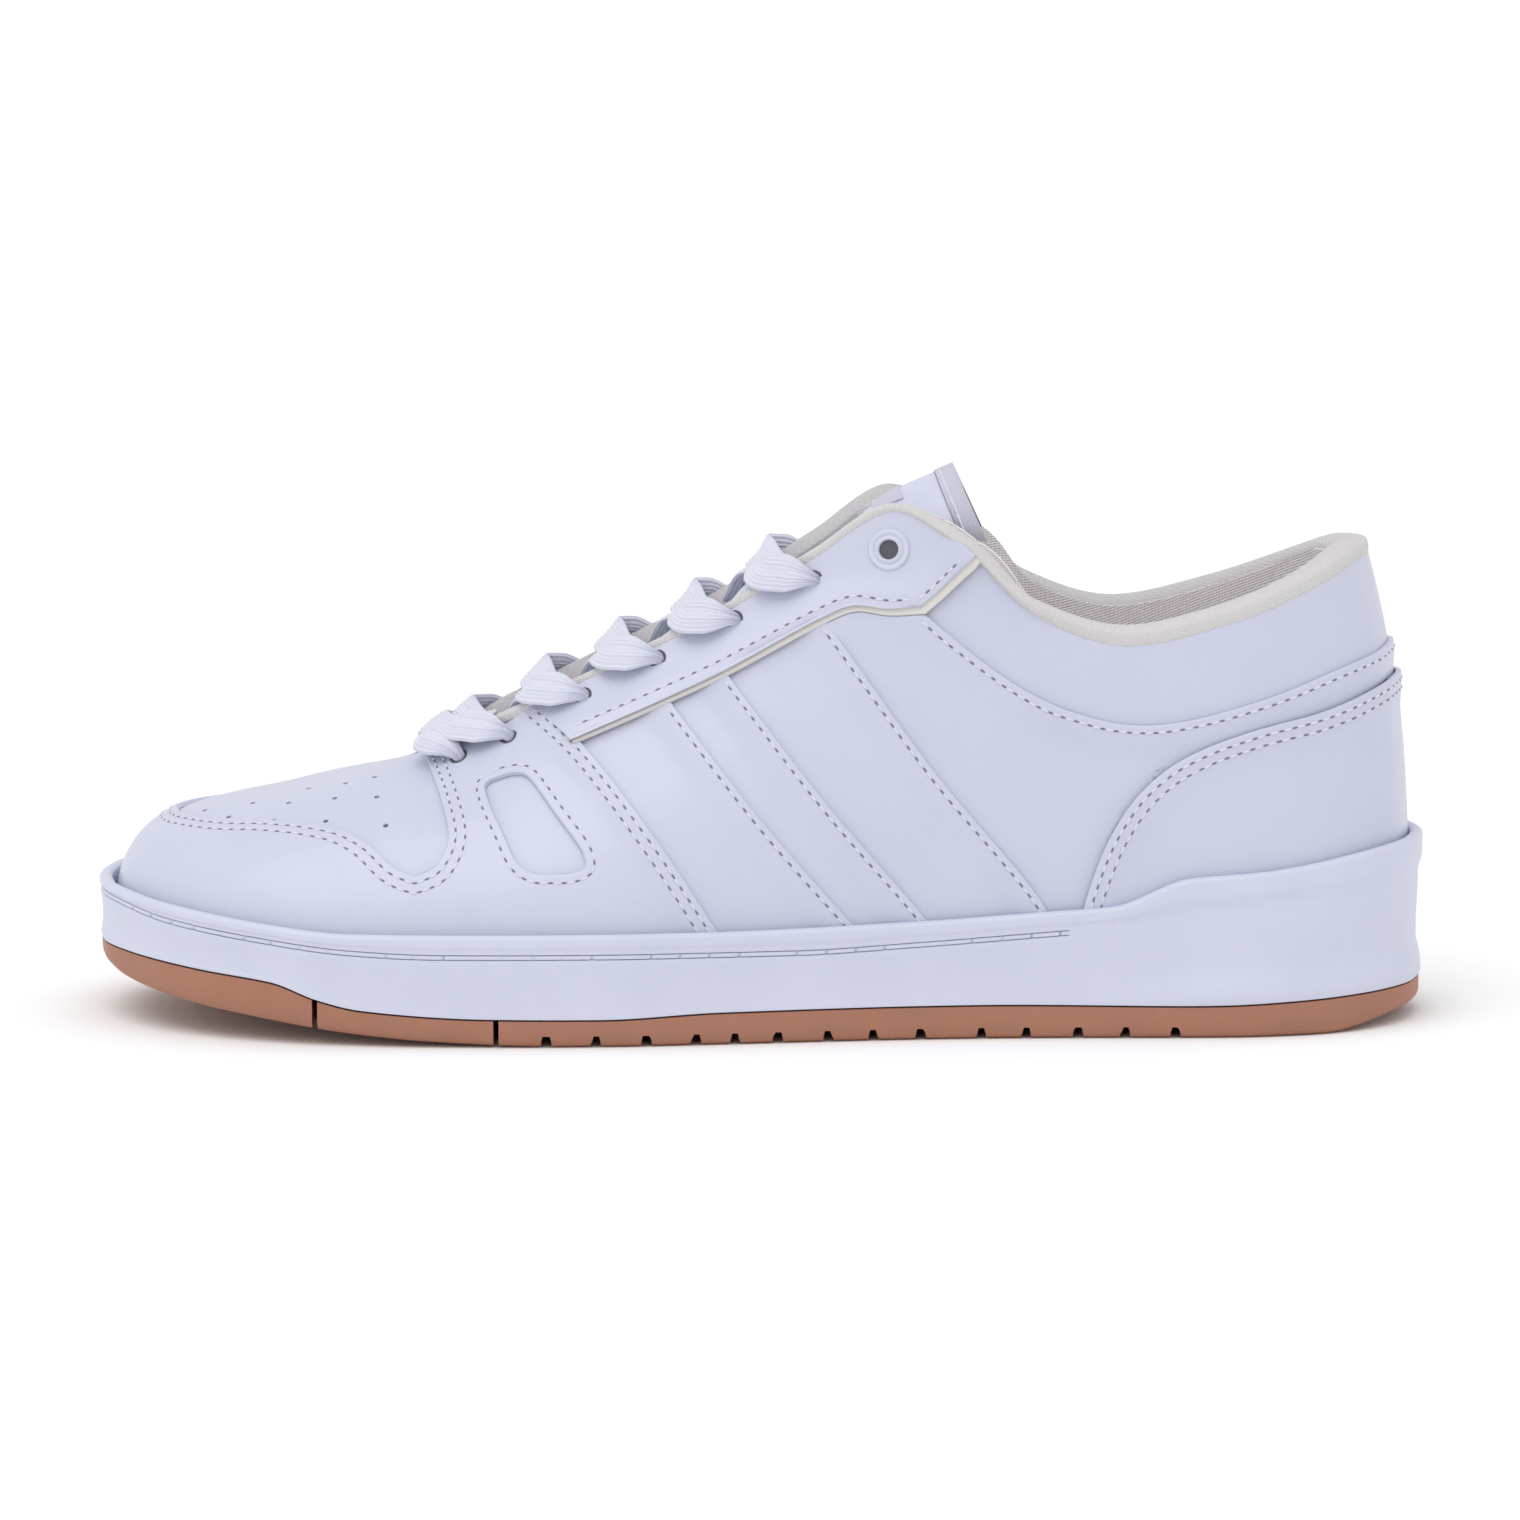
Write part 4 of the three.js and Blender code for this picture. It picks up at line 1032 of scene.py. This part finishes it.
for side, word in SIDE_NAMES:
    p = PATHS[side]
    left = between(p["line_1"], 0, nearest_share(p["line_1"], STRIPE_TOPS[0]))[::-1]
    over = (False, True, True, False)
    for key, inset, thick, extra, finish in (
            ("eyestay_backing", 0.0, BACKING, EYESTAY_EXTRA - BACKING_BELOW, RAW_EDGE),
            ("eyestay", EYESTAY_SHOW, LEATHER, EYESTAY_EXTRA, LEATHER_FINISH)):
        bottom, right = [shift(p[line], -side * inset) for line in ("eyestay", "eyestay_end")]
        bottom[-1] = right[0] = (bottom[-1] + right[0]) / 2
        right = up_to_edge(right)
        front = np.vstack([bottom[:1], left[1:]])
        grid = panel_grid(bottom, right, straight(front[-1], right[-1]), front, over, 1.3)
        made = panel(f"{key}_{word}", grid, over, (True, False, False, False), thick, extra)
        dress(made, finish)
    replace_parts(made, "eyestay_" + word)

# ---------------------------------------------------------------- mudguard
# One piece of leather round the toe, with an ear on each side that rises to the lacing. The ear
# frames a stitched window that shows the vamp.
LOOP_COUNTS = (48, 24, 68, 32)


def toe_band(side):
    """The four edges of the band from the middle of the toe back to where the ear starts."""
    p = PATHS[side]
    start, dip = p["toe"][0, 0], p["toe"][-1]
    bottom = straight((start, FOOT), (dip[0], FOOT), 80)
    return bottom, straight(bottom[-1], dip, 30), p["toe"], straight(bottom[0], p["toe"][0], 30)


def ear_loop(side, band_end):
    """The ear's outline as a closed path: up the front, along the top, down line 1, to the band."""
    p = PATHS[side]
    ear, line = p["ear"], p["line_1"]
    corners = [ear, straight(ear[-1], line[0]), line, straight(line[-1], band_end[0])]
    loop = [resample(c, n + 1, on_last)[:-1] for c, n in zip(corners, LOOP_COUNTS)]
    loop[0][0] = band_end[-1]
    return np.vstack([*loop, band_end[:-1]])


def ear_grid(side, band_end):
    """The ear's outline and the window's edge, point for point, both turning the same way."""
    outer = ear_loop(side, band_end)
    inner = resample(PATHS[side]["window"], len(outer) + 1, on_last)[:-1]
    centre = on_last(inner).mean(0)

    def turning(path):
        from_centre = on_last(path) - centre
        return np.unwrap(np.arctan2(from_centre[:, 2], from_centre[:, 0]))

    turn, window_turn = turning(outer), turning(inner)
    sense = np.sign(turn[-1] - turn[0])
    if sense * (window_turn[-1] - window_turn[0]) < 0:
        inner = inner[::-1]
    ahead = np.mod(sense * (turning(inner) - turn[0]), 2 * np.pi)
    return outer, np.roll(inner, -int(np.argmin(ahead)), 0)


def welded(name, shells):
    """Closed shells that meet face to face, made one: the faces between them are taken out."""
    work = bmesh.new()
    for shell in shells:
        work.from_mesh(shell.data)
        bpy.data.meshes.remove(shell.data)
    bmesh.ops.remove_doubles(work, verts=work.verts, dist=2e-5)
    seen = {}
    for face in work.faces:
        seen.setdefault(frozenset(v.index for v in face.verts), []).append(face)
    inside = [face for faces in seen.values() if len(faces) > 1 for face in faces]
    bmesh.ops.delete(work, geom=inside, context="FACES_ONLY")
    bmesh.ops.recalc_face_normals(work, faces=work.faces)
    mesh = bpy.data.meshes.new(name)
    work.to_mesh(mesh)
    work.free()
    return bpy.data.objects.new(name, mesh)


BAND_COLUMNS = spaced(24.0, False, True)
sheets = []
for side in (-1, 1):
    p = PATHS[side]
    edges = [p["toe"], p["ear"], p["line_1"], p["window"]]
    bottom, right, top, left = toe_band(side)
    band = patch(bottom, right, top, left, np.linspace(0, 1, 90), BAND_COLUMNS)
    outer, inner = ear_grid(side, band[-1])
    gap = np.linalg.norm(on_last(outer) - on_last(inner), axis=1)[:, None]
    edge = np.minimum(np.array([0, *EDGE_STEPS])[None, :, None] / gap[:, None], 0.3)
    middle = edge[:, -1:] + (1 - 2 * edge[:, -1:]) * np.linspace(0.07, 0.93, 14)[None, :, None]
    share = np.concatenate([edge, middle, 1 - edge[:, ::-1]], 1)
    ear = outer[:, None] + (inner - outer)[:, None] * share
    for grid, wrap in ((band, False), (ear, True)):
        low = panel_lift(line_distance(grid, [p["line_1"]]))
        high = low + LEATHER - rounded(line_distance(grid, edges))
        sheets.append(closed_shell("mudguard_part", skin(grid, low), skin(grid, high), wrap=wrap))
mudguard = dress(welded("mudguard", sheets), LEATHER_FINISH)
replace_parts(mudguard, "mudguard")


# ---------------------------------------------------------------- rows of stitching
# White thread, one row beside the raised edge of most panels and two on the mudguard, the heel
# overlay and the front line; the needle slots are fine dark dashes of painted shade.
OUTER = PANEL_LOW + PANEL_RISE + LEATHER
THREAD_LIFT = 0.03
STRIPE_ROW, COLLAR_ROW, WINDOW_ROW = 1.5, 1.7, 2.0
DOUBLE_ROW = (1.6, 3.7)
TOE_ROW = (1.8, 4.0)
# rows stop short of the topline tape
MUDGUARD_TOP, EYESTAY_TOP = 0.97, 0.955


def sewn(path, raised, extra=0.0):
    """A row with its height: on top of a panel that rises toward the raised seams."""
    lift = panel_lift(line_distance(path[:, None], raised)[:, 0])
    return path, lift + LEATHER + extra + THREAD_LIFT


for side, word in SIDE_NAMES:
    p = PATHS[side]
    for key in ("line_2", "line_3", "line_4"):
        stitches(f"{key}_{word}", [sewn(shift(p[key], side * STRIPE_ROW), [p[key]])])
    toe = resample(np.vstack([p["toe"][:-1], p["ear"]]), 170, on_last)
    front = [shift(path, side * row) for path, rows in ((p["line_1"], DOUBLE_ROW), (toe, TOE_ROW))
             for row in rows]
    front.append(shift(p["window"], -side * WINDOW_ROW))
    stitches(f"mudguard_{word}", [sewn(row[row[:, 1] < MUDGUARD_TOP], [p["line_1"]]) for row in front])
    rows, raised = [[shift(p[key], -side * inset) for key in ("eyestay", "eyestay_end")]
                    for inset in (EYESTAY_SHOW + STRIPE_ROW, EYESTAY_SHOW)]
    stitches(f"eyestay_{word}", [sewn(row[row[:, 1] < EYESTAY_TOP], raised, EYESTAY_EXTRA)
                                 for row in (rows[0][:-2], rows[1][2:])])
    stitches(f"collar_{word}", [sewn(shift(p["collar"], side * COLLAR_ROW), [p["collar"]])])
    stitches(f"heel_{word}", [sewn(shift(p["heel"], side * row), [p["heel"]], HEEL_OVERLAY_EXTRA)
                              for row in DOUBLE_ROW])

# ---------------------------------------------------------------- collar binding and lining
# Knitted tape folded over the topline, thicker round the padded collar than along the throat, and
# the mesh lining whose edge it holds.
TAPE_STEPS = 560
LINING_LOW, LINING_HIGH = -2.2, -1.4
COLLAR_SWELL = 4.3


def knit(name, base, dark, pitch, depth):
    """Knitted cloth: two crossing families of waves, in millimetres of the piece's own UV."""
    made = Finish(name, roughness=0.9)
    uv = made.uv()
    u, v = made.axis(uv, 0), made.axis(uv, 1)
    cord = (u * (2 * math.pi / pitch) + v * (math.pi / pitch)).math("SINE")
    cross = (v * (2 * math.pi / (pitch * 0.8)) - u * (math.pi / pitch)).math("SINE")
    weave = (cord * cross + 1.0) * 0.5
    made.set("Base Color", made.mix(weave, dark, base))
    made.bump(weave, depth, 0.7)
    made.set("Sheen Weight", 0.2)
    return made


TAPE = knit("binding_tape", (0.72, 0.70, 0.70), (0.62, 0.60, 0.61), 0.9, 0.00025)
MESH = knit("lining_mesh", (0.94, 0.89, 0.91), (0.80, 0.75, 0.77), 1.3, 0.0003)


def tape_over(t0, t1):
    """Tape over the topline: a half oval from the outside of the upper to the inside."""
    t = np.linspace(t0, t1, TAPE_STEPS)
    edge = last(t, np.full(t.shape, LAST_EDGE))
    _along, up, normal = last_frame(t, np.full(t.shape, LAST_EDGE))
    up = up / np.linalg.norm(up, axis=1, keepdims=True)
    ends = [end[-1, 0] for end in collar_ends]
    fat = smoothstep(t, ends[0] - 0.2, ends[0] + 1.4) * smoothstep(-t, -ends[1] - 0.2, -ends[1] + 1.4)
    past_ear = smoothstep(t, t0, t0 + 0.7) * smoothstep(-t, -t1, 0.7 - t1)
    wide_out = (OUTER + 0.55) * (1 - fat) + (PANEL_LOW + LEATHER + 0.5) * fat - 1.3 * (1 - past_ear)
    wide_in = 2.6 + 3.4 * fat
    high, low = 1.2 + 0.8 * fat, -(1.2 + 1.3 * fat)
    # (outward, upward) places of the section: up the outside, over the top, down the inside
    section = [(wide_out - 0.45 * (1 - share) ** 2, low * (1 - share)) for share in np.linspace(0, 1, 5)]
    section += [((wide_out + wide_in) / 2 * np.cos(angle) + (wide_out - wide_in) / 2, high * np.sin(angle))
                for angle in np.linspace(0, np.pi, 22)[1:-1]]
    section += [(-wide_in, low * share * 0.8) for share in np.linspace(0, 1, 4)]

    def surface(outward, upward):
        return edge + normal * outward[:, None] + up * upward[:, None]

    outside = [surface(o, h) for o, h in section]
    inside = [surface(o * 0.72 + 0.1, h * 0.9 - 0.6) for o, h in section]
    return closed_shell("collar_binding", np.stack(inside, 1), np.stack(outside, 1))


binding = dress(tape_over(VAMP_END + 0.6, LOOP - VAMP_END - 0.6), TAPE)
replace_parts(binding, "collar_binding")

lining_grid = base_grid(VAMP_END + 0.3, LOOP - VAMP_END - 0.3, 0.03, LAST_EDGE, 300, 60)
swell = smoothstep(lining_grid[..., 1], 0.46, 0.72) * smoothstep(lining_grid[..., 0], 10, 12.5)
swell = COLLAR_SWELL * swell * smoothstep(LOOP - lining_grid[..., 0], 10, 12.5)
lining = dress(closed_shell("quarter_linings", skin(lining_grid, LINING_LOW - swell),
                            skin(lining_grid, LINING_HIGH - swell)), MESH)
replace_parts(lining, "quarter_lining_lateral", "quarter_lining_medial", "collar_lining")

# ---------------------------------------------------------------- tongue
# A padded leather tongue faced with mesh behind, sewn in at its foot; its upper half stands free of
# the laces. A textile band is sewn over its end, and a blank label lies on its face.
# Each row: x and z of the middle line, the radius it curves over, half its width.
TONGUE = [(-76, 53.6, 26, 8), (-52, 65.6, 25, 14), (-31, 76.8, 25, 16), (-9, 89.2, 25, 17),
          (8, 99.8, 25, 16), (12, 102.5, 25, 13), (29, 117.2, 17.5, 15.8), (43.4, 123.8, 18.8, 18.72)]
TONGUE_TOP = len(TONGUE) - 1


def tongue(u, w, lift=0.0):
    """The tongue's face: an arc across at each u, w from -1 to 1, lifted square to itself."""
    u, w = np.broadcast_arrays(np.asarray(u, float), np.asarray(w, float))
    k = np.arange(TONGUE_TOP + 1)
    s = monotone(k, TONGUE, u, False)
    ahead, behind = monotone(k, TONGUE, u + 0.02, False), monotone(k, TONGUE, u - 0.02, False)
    d = ahead[..., :2] - behind[..., :2]
    d /= np.linalg.norm(d, axis=-1, keepdims=True)
    x, z, radius, half = np.moveaxis(s, -1, 0)
    angle = np.arcsin(half / radius) * w
    drop = radius * (1 - np.cos(angle)) - lift * np.cos(angle)
    return np.stack([x + d[..., 1] * drop, (radius + lift) * np.sin(angle), z - d[..., 0] * drop], -1)


def tongue_grid(u0, u1, w0=-1.0, w1=1.0, rows=120, columns=48):
    """An even grid of (u, w) on the tongue."""
    return np.meshgrid(np.linspace(u0, u1, rows), np.linspace(w0, w1, columns), indexing="ij")


def tongue_layer(name, u0, u1, low, high, w0=-1.0, w1=1.0, soft=0.0):
    """A layer of the tongue; soft is how far its two faces close up toward the long edges."""
    u, w = tongue_grid(u0, u1, w0, w1)
    round_off = soft * (np.abs(w) ** 6)
    return closed_shell(name, tongue(u, w, low + round_off), tongue(u, w, high - round_off))


TONGUE_FINISH = leather("tongue_leather", (0.61, 0.63, 0.755), (0.56, 0.58, 0.715))
FACE_LOW, FACE_HIGH = -1.6, 0.1
PAD_LOW, PAD_HIGH = -5.9, -1.5
BIND_FROM = 6.72
TONGUE_BAND = knit("tongue_band", (0.63, 0.625, 0.74), (0.54, 0.54, 0.65), 0.9, 0.00025)
tongue_face = dress(tongue_layer("tongue_face", 0, BIND_FROM, FACE_LOW, FACE_HIGH), TONGUE_FINISH,
                    None)
tongue_pad = dress(tongue_layer("tongue_pad", 0, BIND_FROM, PAD_LOW, PAD_HIGH, soft=1.9), MESH,
                   None)
for piece in (tongue_face, tongue_pad):
    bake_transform(piece)
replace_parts(tongue_face, "tongue_lower", "tongue_flap")
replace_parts(tongue_pad, "tongue_lower_lining", "tongue_flap_lining", "tongue_lower_foam",
            "tongue_flap_foam")

tongue_tape = dress(tongue_layer("tongue_tape", BIND_FROM, TONGUE_TOP, -4.6, 0.5, soft=1.8), TONGUE_BAND,
                    "tongue_flap")
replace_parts(tongue_tape, "tongue_binding")
label = dress(tongue_layer("tongue_label", 5.8, 6.15, 0.05, 0.6, -0.4, 0.4), TONGUE_BAND, "tongue_flap")
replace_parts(label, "tongue_label")

# a thin dark strip of painted shadow along the seam under the band, and a row of thread that dips under
# the band between its stitches
BAND_STITCHES = 11
ROW_HALF = 0.94
seam_shadow_strip = tongue_layer("tongue_seam_shadow", BIND_FROM - 0.018, BIND_FROM + 0.004, -0.4, 0.28, -0.97, 0.97)
dress(seam_shadow_strip, Finish("seam_shadow", base_color=(0.30, 0.30, 0.38), roughness=0.9), "tongue_flap")
u, w = tongue_grid(BIND_FROM + 0.055, BIND_FROM + 0.09, -ROW_HALF, ROW_HALF, 5, BAND_STITCHES * 14)
hump = np.abs(np.sin((w / ROW_HALF + 1) * np.pi * BAND_STITCHES / 2)) ** 0.5
round_back = np.sin(np.linspace(0.15, 0.85, 5) * np.pi)[:, None]
thread_row = closed_shell("tongue_thread", tongue(u, w, 0.1), tongue(u, w, 0.3 + 0.5 * hump * round_back))
dress(thread_row, THREAD, "tongue_flap")

# ---------------------------------------------------------------- laces
# One flat cotton lace: a bar across the foot of the throat, then crossings that run over the
# edge of each eyestay and down through its hole.
LACE_WIDE = 8.8
LACE_THICK = 2.6
LACE_RIBS = 9
LACE_AROUND = 72
LACE_HOLES = [(-66.5, 57.6), (-55.3, 62.8), (-38.2, 71.6), (-21.8, 80.4), (-4.7, 89.7),
              (12.8, 99.2)]
EYESTAY_SLOPE = 0.53
CROWN = np.array([-0.48, 0, 0.88])


def lace_finish():
    """Flat plaited cotton: fine crossing waves in its own UV."""
    made = Finish("lace_cotton", roughness=0.85)
    uv = made.uv()
    u, v = made.axis(uv, 0), made.axis(uv, 1)
    plait = ((u * 7.0 + v * 3.5).math("SINE") * (u * 7.0 - v * 3.5).math("SINE") + 1.0) * 0.5
    made.set("Base Color", made.mix(plait, (0.64, 0.655, 0.76), (0.71, 0.725, 0.82)))
    made.bump(plait, 0.00012, 0.4)
    made.set("Sheen Weight", 0.25)
    return made


LACE = lace_finish()


def lace(name, stops, normals, narrow_start=False):
    """A ribbed, puffy ribbon through stops; it narrows where it goes into a hole.

    Its section is a flattened oval with ribs along it, square to the path and to its face.
    """
    path = smooth_curve(stops, 90, 600)
    n = len(path)
    share = np.linspace(0, 1, n)
    marks = [np.argmin(np.linalg.norm(path - stop, axis=1)) / (n - 1) for stop in np.asarray(stops)]
    marks[0], marks[-1] = 0.0, 1.0
    face = np.column_stack([np.interp(share, marks, np.asarray(normals)[:, k]) for k in range(3)])
    tangent = np.gradient(path, axis=0)
    tangent /= np.linalg.norm(tangent, axis=1, keepdims=True)
    across = np.cross(face, tangent)
    across /= np.linalg.norm(across, axis=1, keepdims=True)
    up = np.cross(tangent, across)
    length = np.linalg.norm(np.diff(path, axis=0), axis=1).sum()
    run = share * length
    width = 0.3 + 0.7 * smoothstep(length - run, 1.5, 10)
    if narrow_start:
        width = np.minimum(width, 0.3 + 0.7 * smoothstep(run, 1.5, 10))
    angle = np.arange(LACE_AROUND) * 2 * np.pi / LACE_AROUND
    flat = np.sign(np.cos(angle)) * np.abs(np.cos(angle)) ** 0.8
    lift = np.sin(angle)
    rib = 0.17 * np.cos(flat * np.pi * LACE_RIBS) * (np.abs(lift) > 0.2)
    body = lift * (0.80 + 0.2 * (1 - flat**2)) + rib * np.sign(lift)
    half, thick = LACE_WIDE / 2 * width, LACE_THICK / 2 * (0.75 + 0.5 * (1 - width))
    grid = (path[:, None] + across[:, None] * (flat * half[:, None])[..., None]
            + up[:, None] * (body * thick[:, None])[..., None])
    ids = np.arange(n * LACE_AROUND).reshape(n, LACE_AROUND)
    a, b = ids[:-1], ids[1:]
    quads = np.stack([a, b, np.roll(b, -1, 1), np.roll(a, -1, 1)], -1).reshape(-1, 4).tolist()
    quads += [ids[0].tolist(), ids[-1][::-1].tolist()]
    uv = np.stack([np.repeat(run, LACE_AROUND), np.tile(flat * LACE_WIDE / 2, n)], -1)
    return solid(name, grid, quads, uv)


def over_throat(x, y, lift):
    """A place at a height over the tongue's middle line."""
    us = np.linspace(0, TONGUE_TOP, 600)
    p = tongue(us, 0 * us)
    at = p[np.argmin(np.abs(p[:, 0] - x))]
    return np.array([at[0], y, at[2]]) + CROWN * lift


def over_eyestay(hole, side, lean=7.5, base=0.0):
    """Over the eyestay's edge and slanting down into a hole: places and normals."""
    places, normals = [], []
    for share, lift in ((1.0, 2.7), (0.6, 2.6), (0.22, 1.6), (0.0, 0.1), (-0.06, -2.6)):
        back = lean * max(share, 0)
        (t, v), = locate([(hole[0] - back, hole[1] - EYESTAY_SLOPE * back)], side)
        row = v + (1 - v) * share
        normal = last_frame(np.array(t), np.array(min(row, 0.99)))[2]
        places.append(last(np.array(t), np.array(min(row, 1.0))) + normal * (OUTER + base + lift))
        normals.append(normal)
    return places, normals


bar_near, bar_near_n = over_eyestay(LACE_HOLES[0], -1, 2.5, -0.9)
bar_far, bar_far_n = over_eyestay(LACE_HOLES[0], 1, 2.5, -0.9)
stops = [*bar_near[::-1], over_throat(LACE_HOLES[0][0] - 1, 0, 6.6), *bar_far]
normals = [*bar_near_n[::-1], CROWN, *bar_far_n]
bar = dress(lace("lace_bar", stops, normals, True), LACE)
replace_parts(bar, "lace_bar")
for number in range(1, len(LACE_HOLES)):
    hole, before = LACE_HOLES[number], LACE_HOLES[number - 1]
    for side, word, lift in ((-1, "lateral", 5.2), (1, "medial", 2.6)):
        places, normals = over_eyestay(hole, side, base=-0.7 if number == 1 else 0.0)
        (t, v), = locate([before], -side)
        normal = last_frame(np.array(t), np.array(0.98))[2]
        start = last(np.array(t), np.array(1.0)) + normal * 0.2 + np.array([3.0, side, 0])
        stops = [start + np.array([0, side * 2.0, -2.0]),
                 over_throat(before[0] + 5, -side * 6.5, lift - 0.8),
                 over_throat((hole[0] + before[0]) / 2 - 0.5, 0, lift), *places]
        face = [normal, (normal + CROWN) / 2, CROWN, *normals]
        made = dress(lace(f"lace_{number + 1}_{word}", stops, face), LACE)
        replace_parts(made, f"lace_{number + 1}_{word}")

# ---------------------------------------------------------------- lace holes and eyelets
# The punched lace holes show as dark discs on the leather, painted shade for each hole's dark inside. Only
# the top pair,
# which is unlaced, has a moulded eyelet: a flat flange with two raised rings.
# painted shade: near-black for the shaded inside of each lace hole
HOLE_SHADE = Finish("painted_hole_shade", base_color=(0.10, 0.10, 0.12), roughness=0.95)
TOP_EYELET = (29.4, 106.6)
HOLE = 2.15
SHADE_DISC = [(0, -0.1), (HOLE, -0.1), (HOLE, 0.06), (0, 0.06)]
EYELET = [(HOLE, -0.3), (4.65, -0.3), (4.65, 0.25), (4.3, 0.55), (3.7, 0.5), (3.45, 0.25),
          (3.2, 0.25), (3.0, 0.6), (2.5, 0.75), (2.2, 0.5), (HOLE, 0.0), (HOLE, -0.3)]


def turned(name, section, at, axis, count=40):
    """A ring or disc turned about an axis: section is (radius, height) places in order."""
    section = np.asarray(section, float)
    angle = np.arange(count) * 2 * np.pi / count
    axis = axis / np.linalg.norm(axis)
    side = np.cross(axis, [0.0, 1.0, 0.01])
    side /= np.linalg.norm(side)
    other = np.cross(axis, side)
    circle = side * np.cos(angle)[:, None] + other * np.sin(angle)[:, None]
    grid = at + circle[:, None] * section[None, :, :1] + axis * section[None, :, 1:]
    return solid(name, grid, grid_faces(count, len(section), 0, True), dissolve=True)


for side, word in SIDE_NAMES:
    for number, hole in enumerate([*LACE_HOLES, TOP_EYELET]):
        (t, v), = locate([hole], side)
        normal = last_frame(np.array(t), np.array(v))[2]
        on_eyestay = number > 1
        near = line_distance(np.array([[[t, v]]]), [PATHS[side]["line_1"]])[0, 0]
        base = LEATHER + (PANEL_LOW + EYESTAY_EXTRA if on_eyestay else panel_lift(near))
        at = last(np.array(t), np.array(v)) + normal * base
        # a dark disc of painted shade over each lace hole
        dress(turned(f"hole_{number}_{word}", SHADE_DISC, at, normal), HOLE_SHADE)
    eyelet = turned("eyelet_ring_" + word, EYELET, at, normal, 64)
    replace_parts(dress(eyelet, CUP_RUBBER), "eyelet_" + word)

# ---------------------------------------------------------------- inside
# The loose insole: foam faced with mesh, its edge softly rounded. The foam wedge, the board and
# the stiffeners lie under everything and keep their plain shapes.
SOCKLINER_INSET = 11.5
SOCKLINER_THICK = 4.0
SOCKLINER_GAP = 0.3
# how far in and what share of the way up each ring runs
SOCKLINER_RINGS = ((1.2, 0.0), (0.3, 0.12), (0.0, 0.4), (0.0, 0.6), (0.35, 0.86), (1.3, 1.0), (5.0, 1.0))


def sockliner_rings(count=360):
    """Rings from the underside round the soft edge and in over the top."""
    t = np.arange(count) * LOOP / count
    rows = []
    for inset, share in SOCKLINER_RINGS:
        xy = outline(t, np.full(t.shape, SOCKLINER_INSET + inset))
        z = bed(xy[:, 0]) + SOCKLINER_GAP + SOCKLINER_THICK * share
        rows.append(np.column_stack([xy, z]))
    return np.stack(rows, 1)


def insole_cloth():
    """Mesh cloth: a fine square weave across the top of the insole."""
    made = Finish("insole_cloth", roughness=0.95)
    place = made.place()
    x, y = made.axis(place, 0), made.axis(place, 1)
    weave = ((x * 4200.0).math("SINE") * (y * 4200.0).math("SINE") + 1.0) * 0.5
    made.set("Base Color", made.mix(weave, (0.62, 0.58, 0.60), (0.86, 0.82, 0.84)))
    made.bump(weave, 0.0002, 0.5)
    return made


insole = dress(ringed_body("insole", sockliner_rings()), insole_cloth(), "sockliner")
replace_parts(insole, "sockliner")

PLAIN = Finish("inner_parts", base_color=(0.62, 0.58, 0.52), roughness=0.9)
for hidden in ("midsole_foam", "lasting_board", "toe_puff", "heel_counter", "collar_foam",
               "vamp_lining"):
    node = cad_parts[hidden]
    node.data.materials.clear()
    node.data.materials.append(PLAIN.material)

# ---------------------------------------------------------------- studio
# A white floor under an even white sky, with one very broad light from above that leans toward the
# heel and away from the camera.
SKY_STRENGTH = 0.84
SUN_STRENGTH, SUN_SPREAD = 0.95, math.radians(50)
SUN_HEADING = Vector((0.25, 0.42, -1.0))
FLOOR_HALF = 60

SWEEP = Finish("sweep", base_color=(0.97, 0.97, 0.97), roughness=1.0)
floor_mesh = bpy.data.meshes.new("sweep")
corners = [(x * FLOOR_HALF, y * FLOOR_HALF, 0) for x, y in ((-1, -1), (1, -1), (1, 1), (-1, 1))]
floor_mesh.from_pydata(corners, [], [(0, 1, 2, 3)])
floor = dress(bpy.data.objects.new("sweep", floor_mesh), SWEEP, None, smooth=False)
world = bpy.data.worlds.new("studio")
world.use_nodes = True
world.node_tree.nodes["Background"].inputs["Color"].default_value = (1, 1, 1, 1)
world.node_tree.nodes["Background"].inputs["Strength"].default_value = SKY_STRENGTH
bpy.context.scene.world = world
bpy.context.scene.view_settings.view_transform = "Standard"
sky = bpy.data.lights.new("sky", "SUN")
sky.energy, sky.angle = SUN_STRENGTH, SUN_SPREAD
holder = bpy.data.objects.new("sky", sky)
holder.rotation_euler = SUN_HEADING.to_track_quat("-Z", "Y").to_euler()
bpy.context.collection.objects.link(holder)
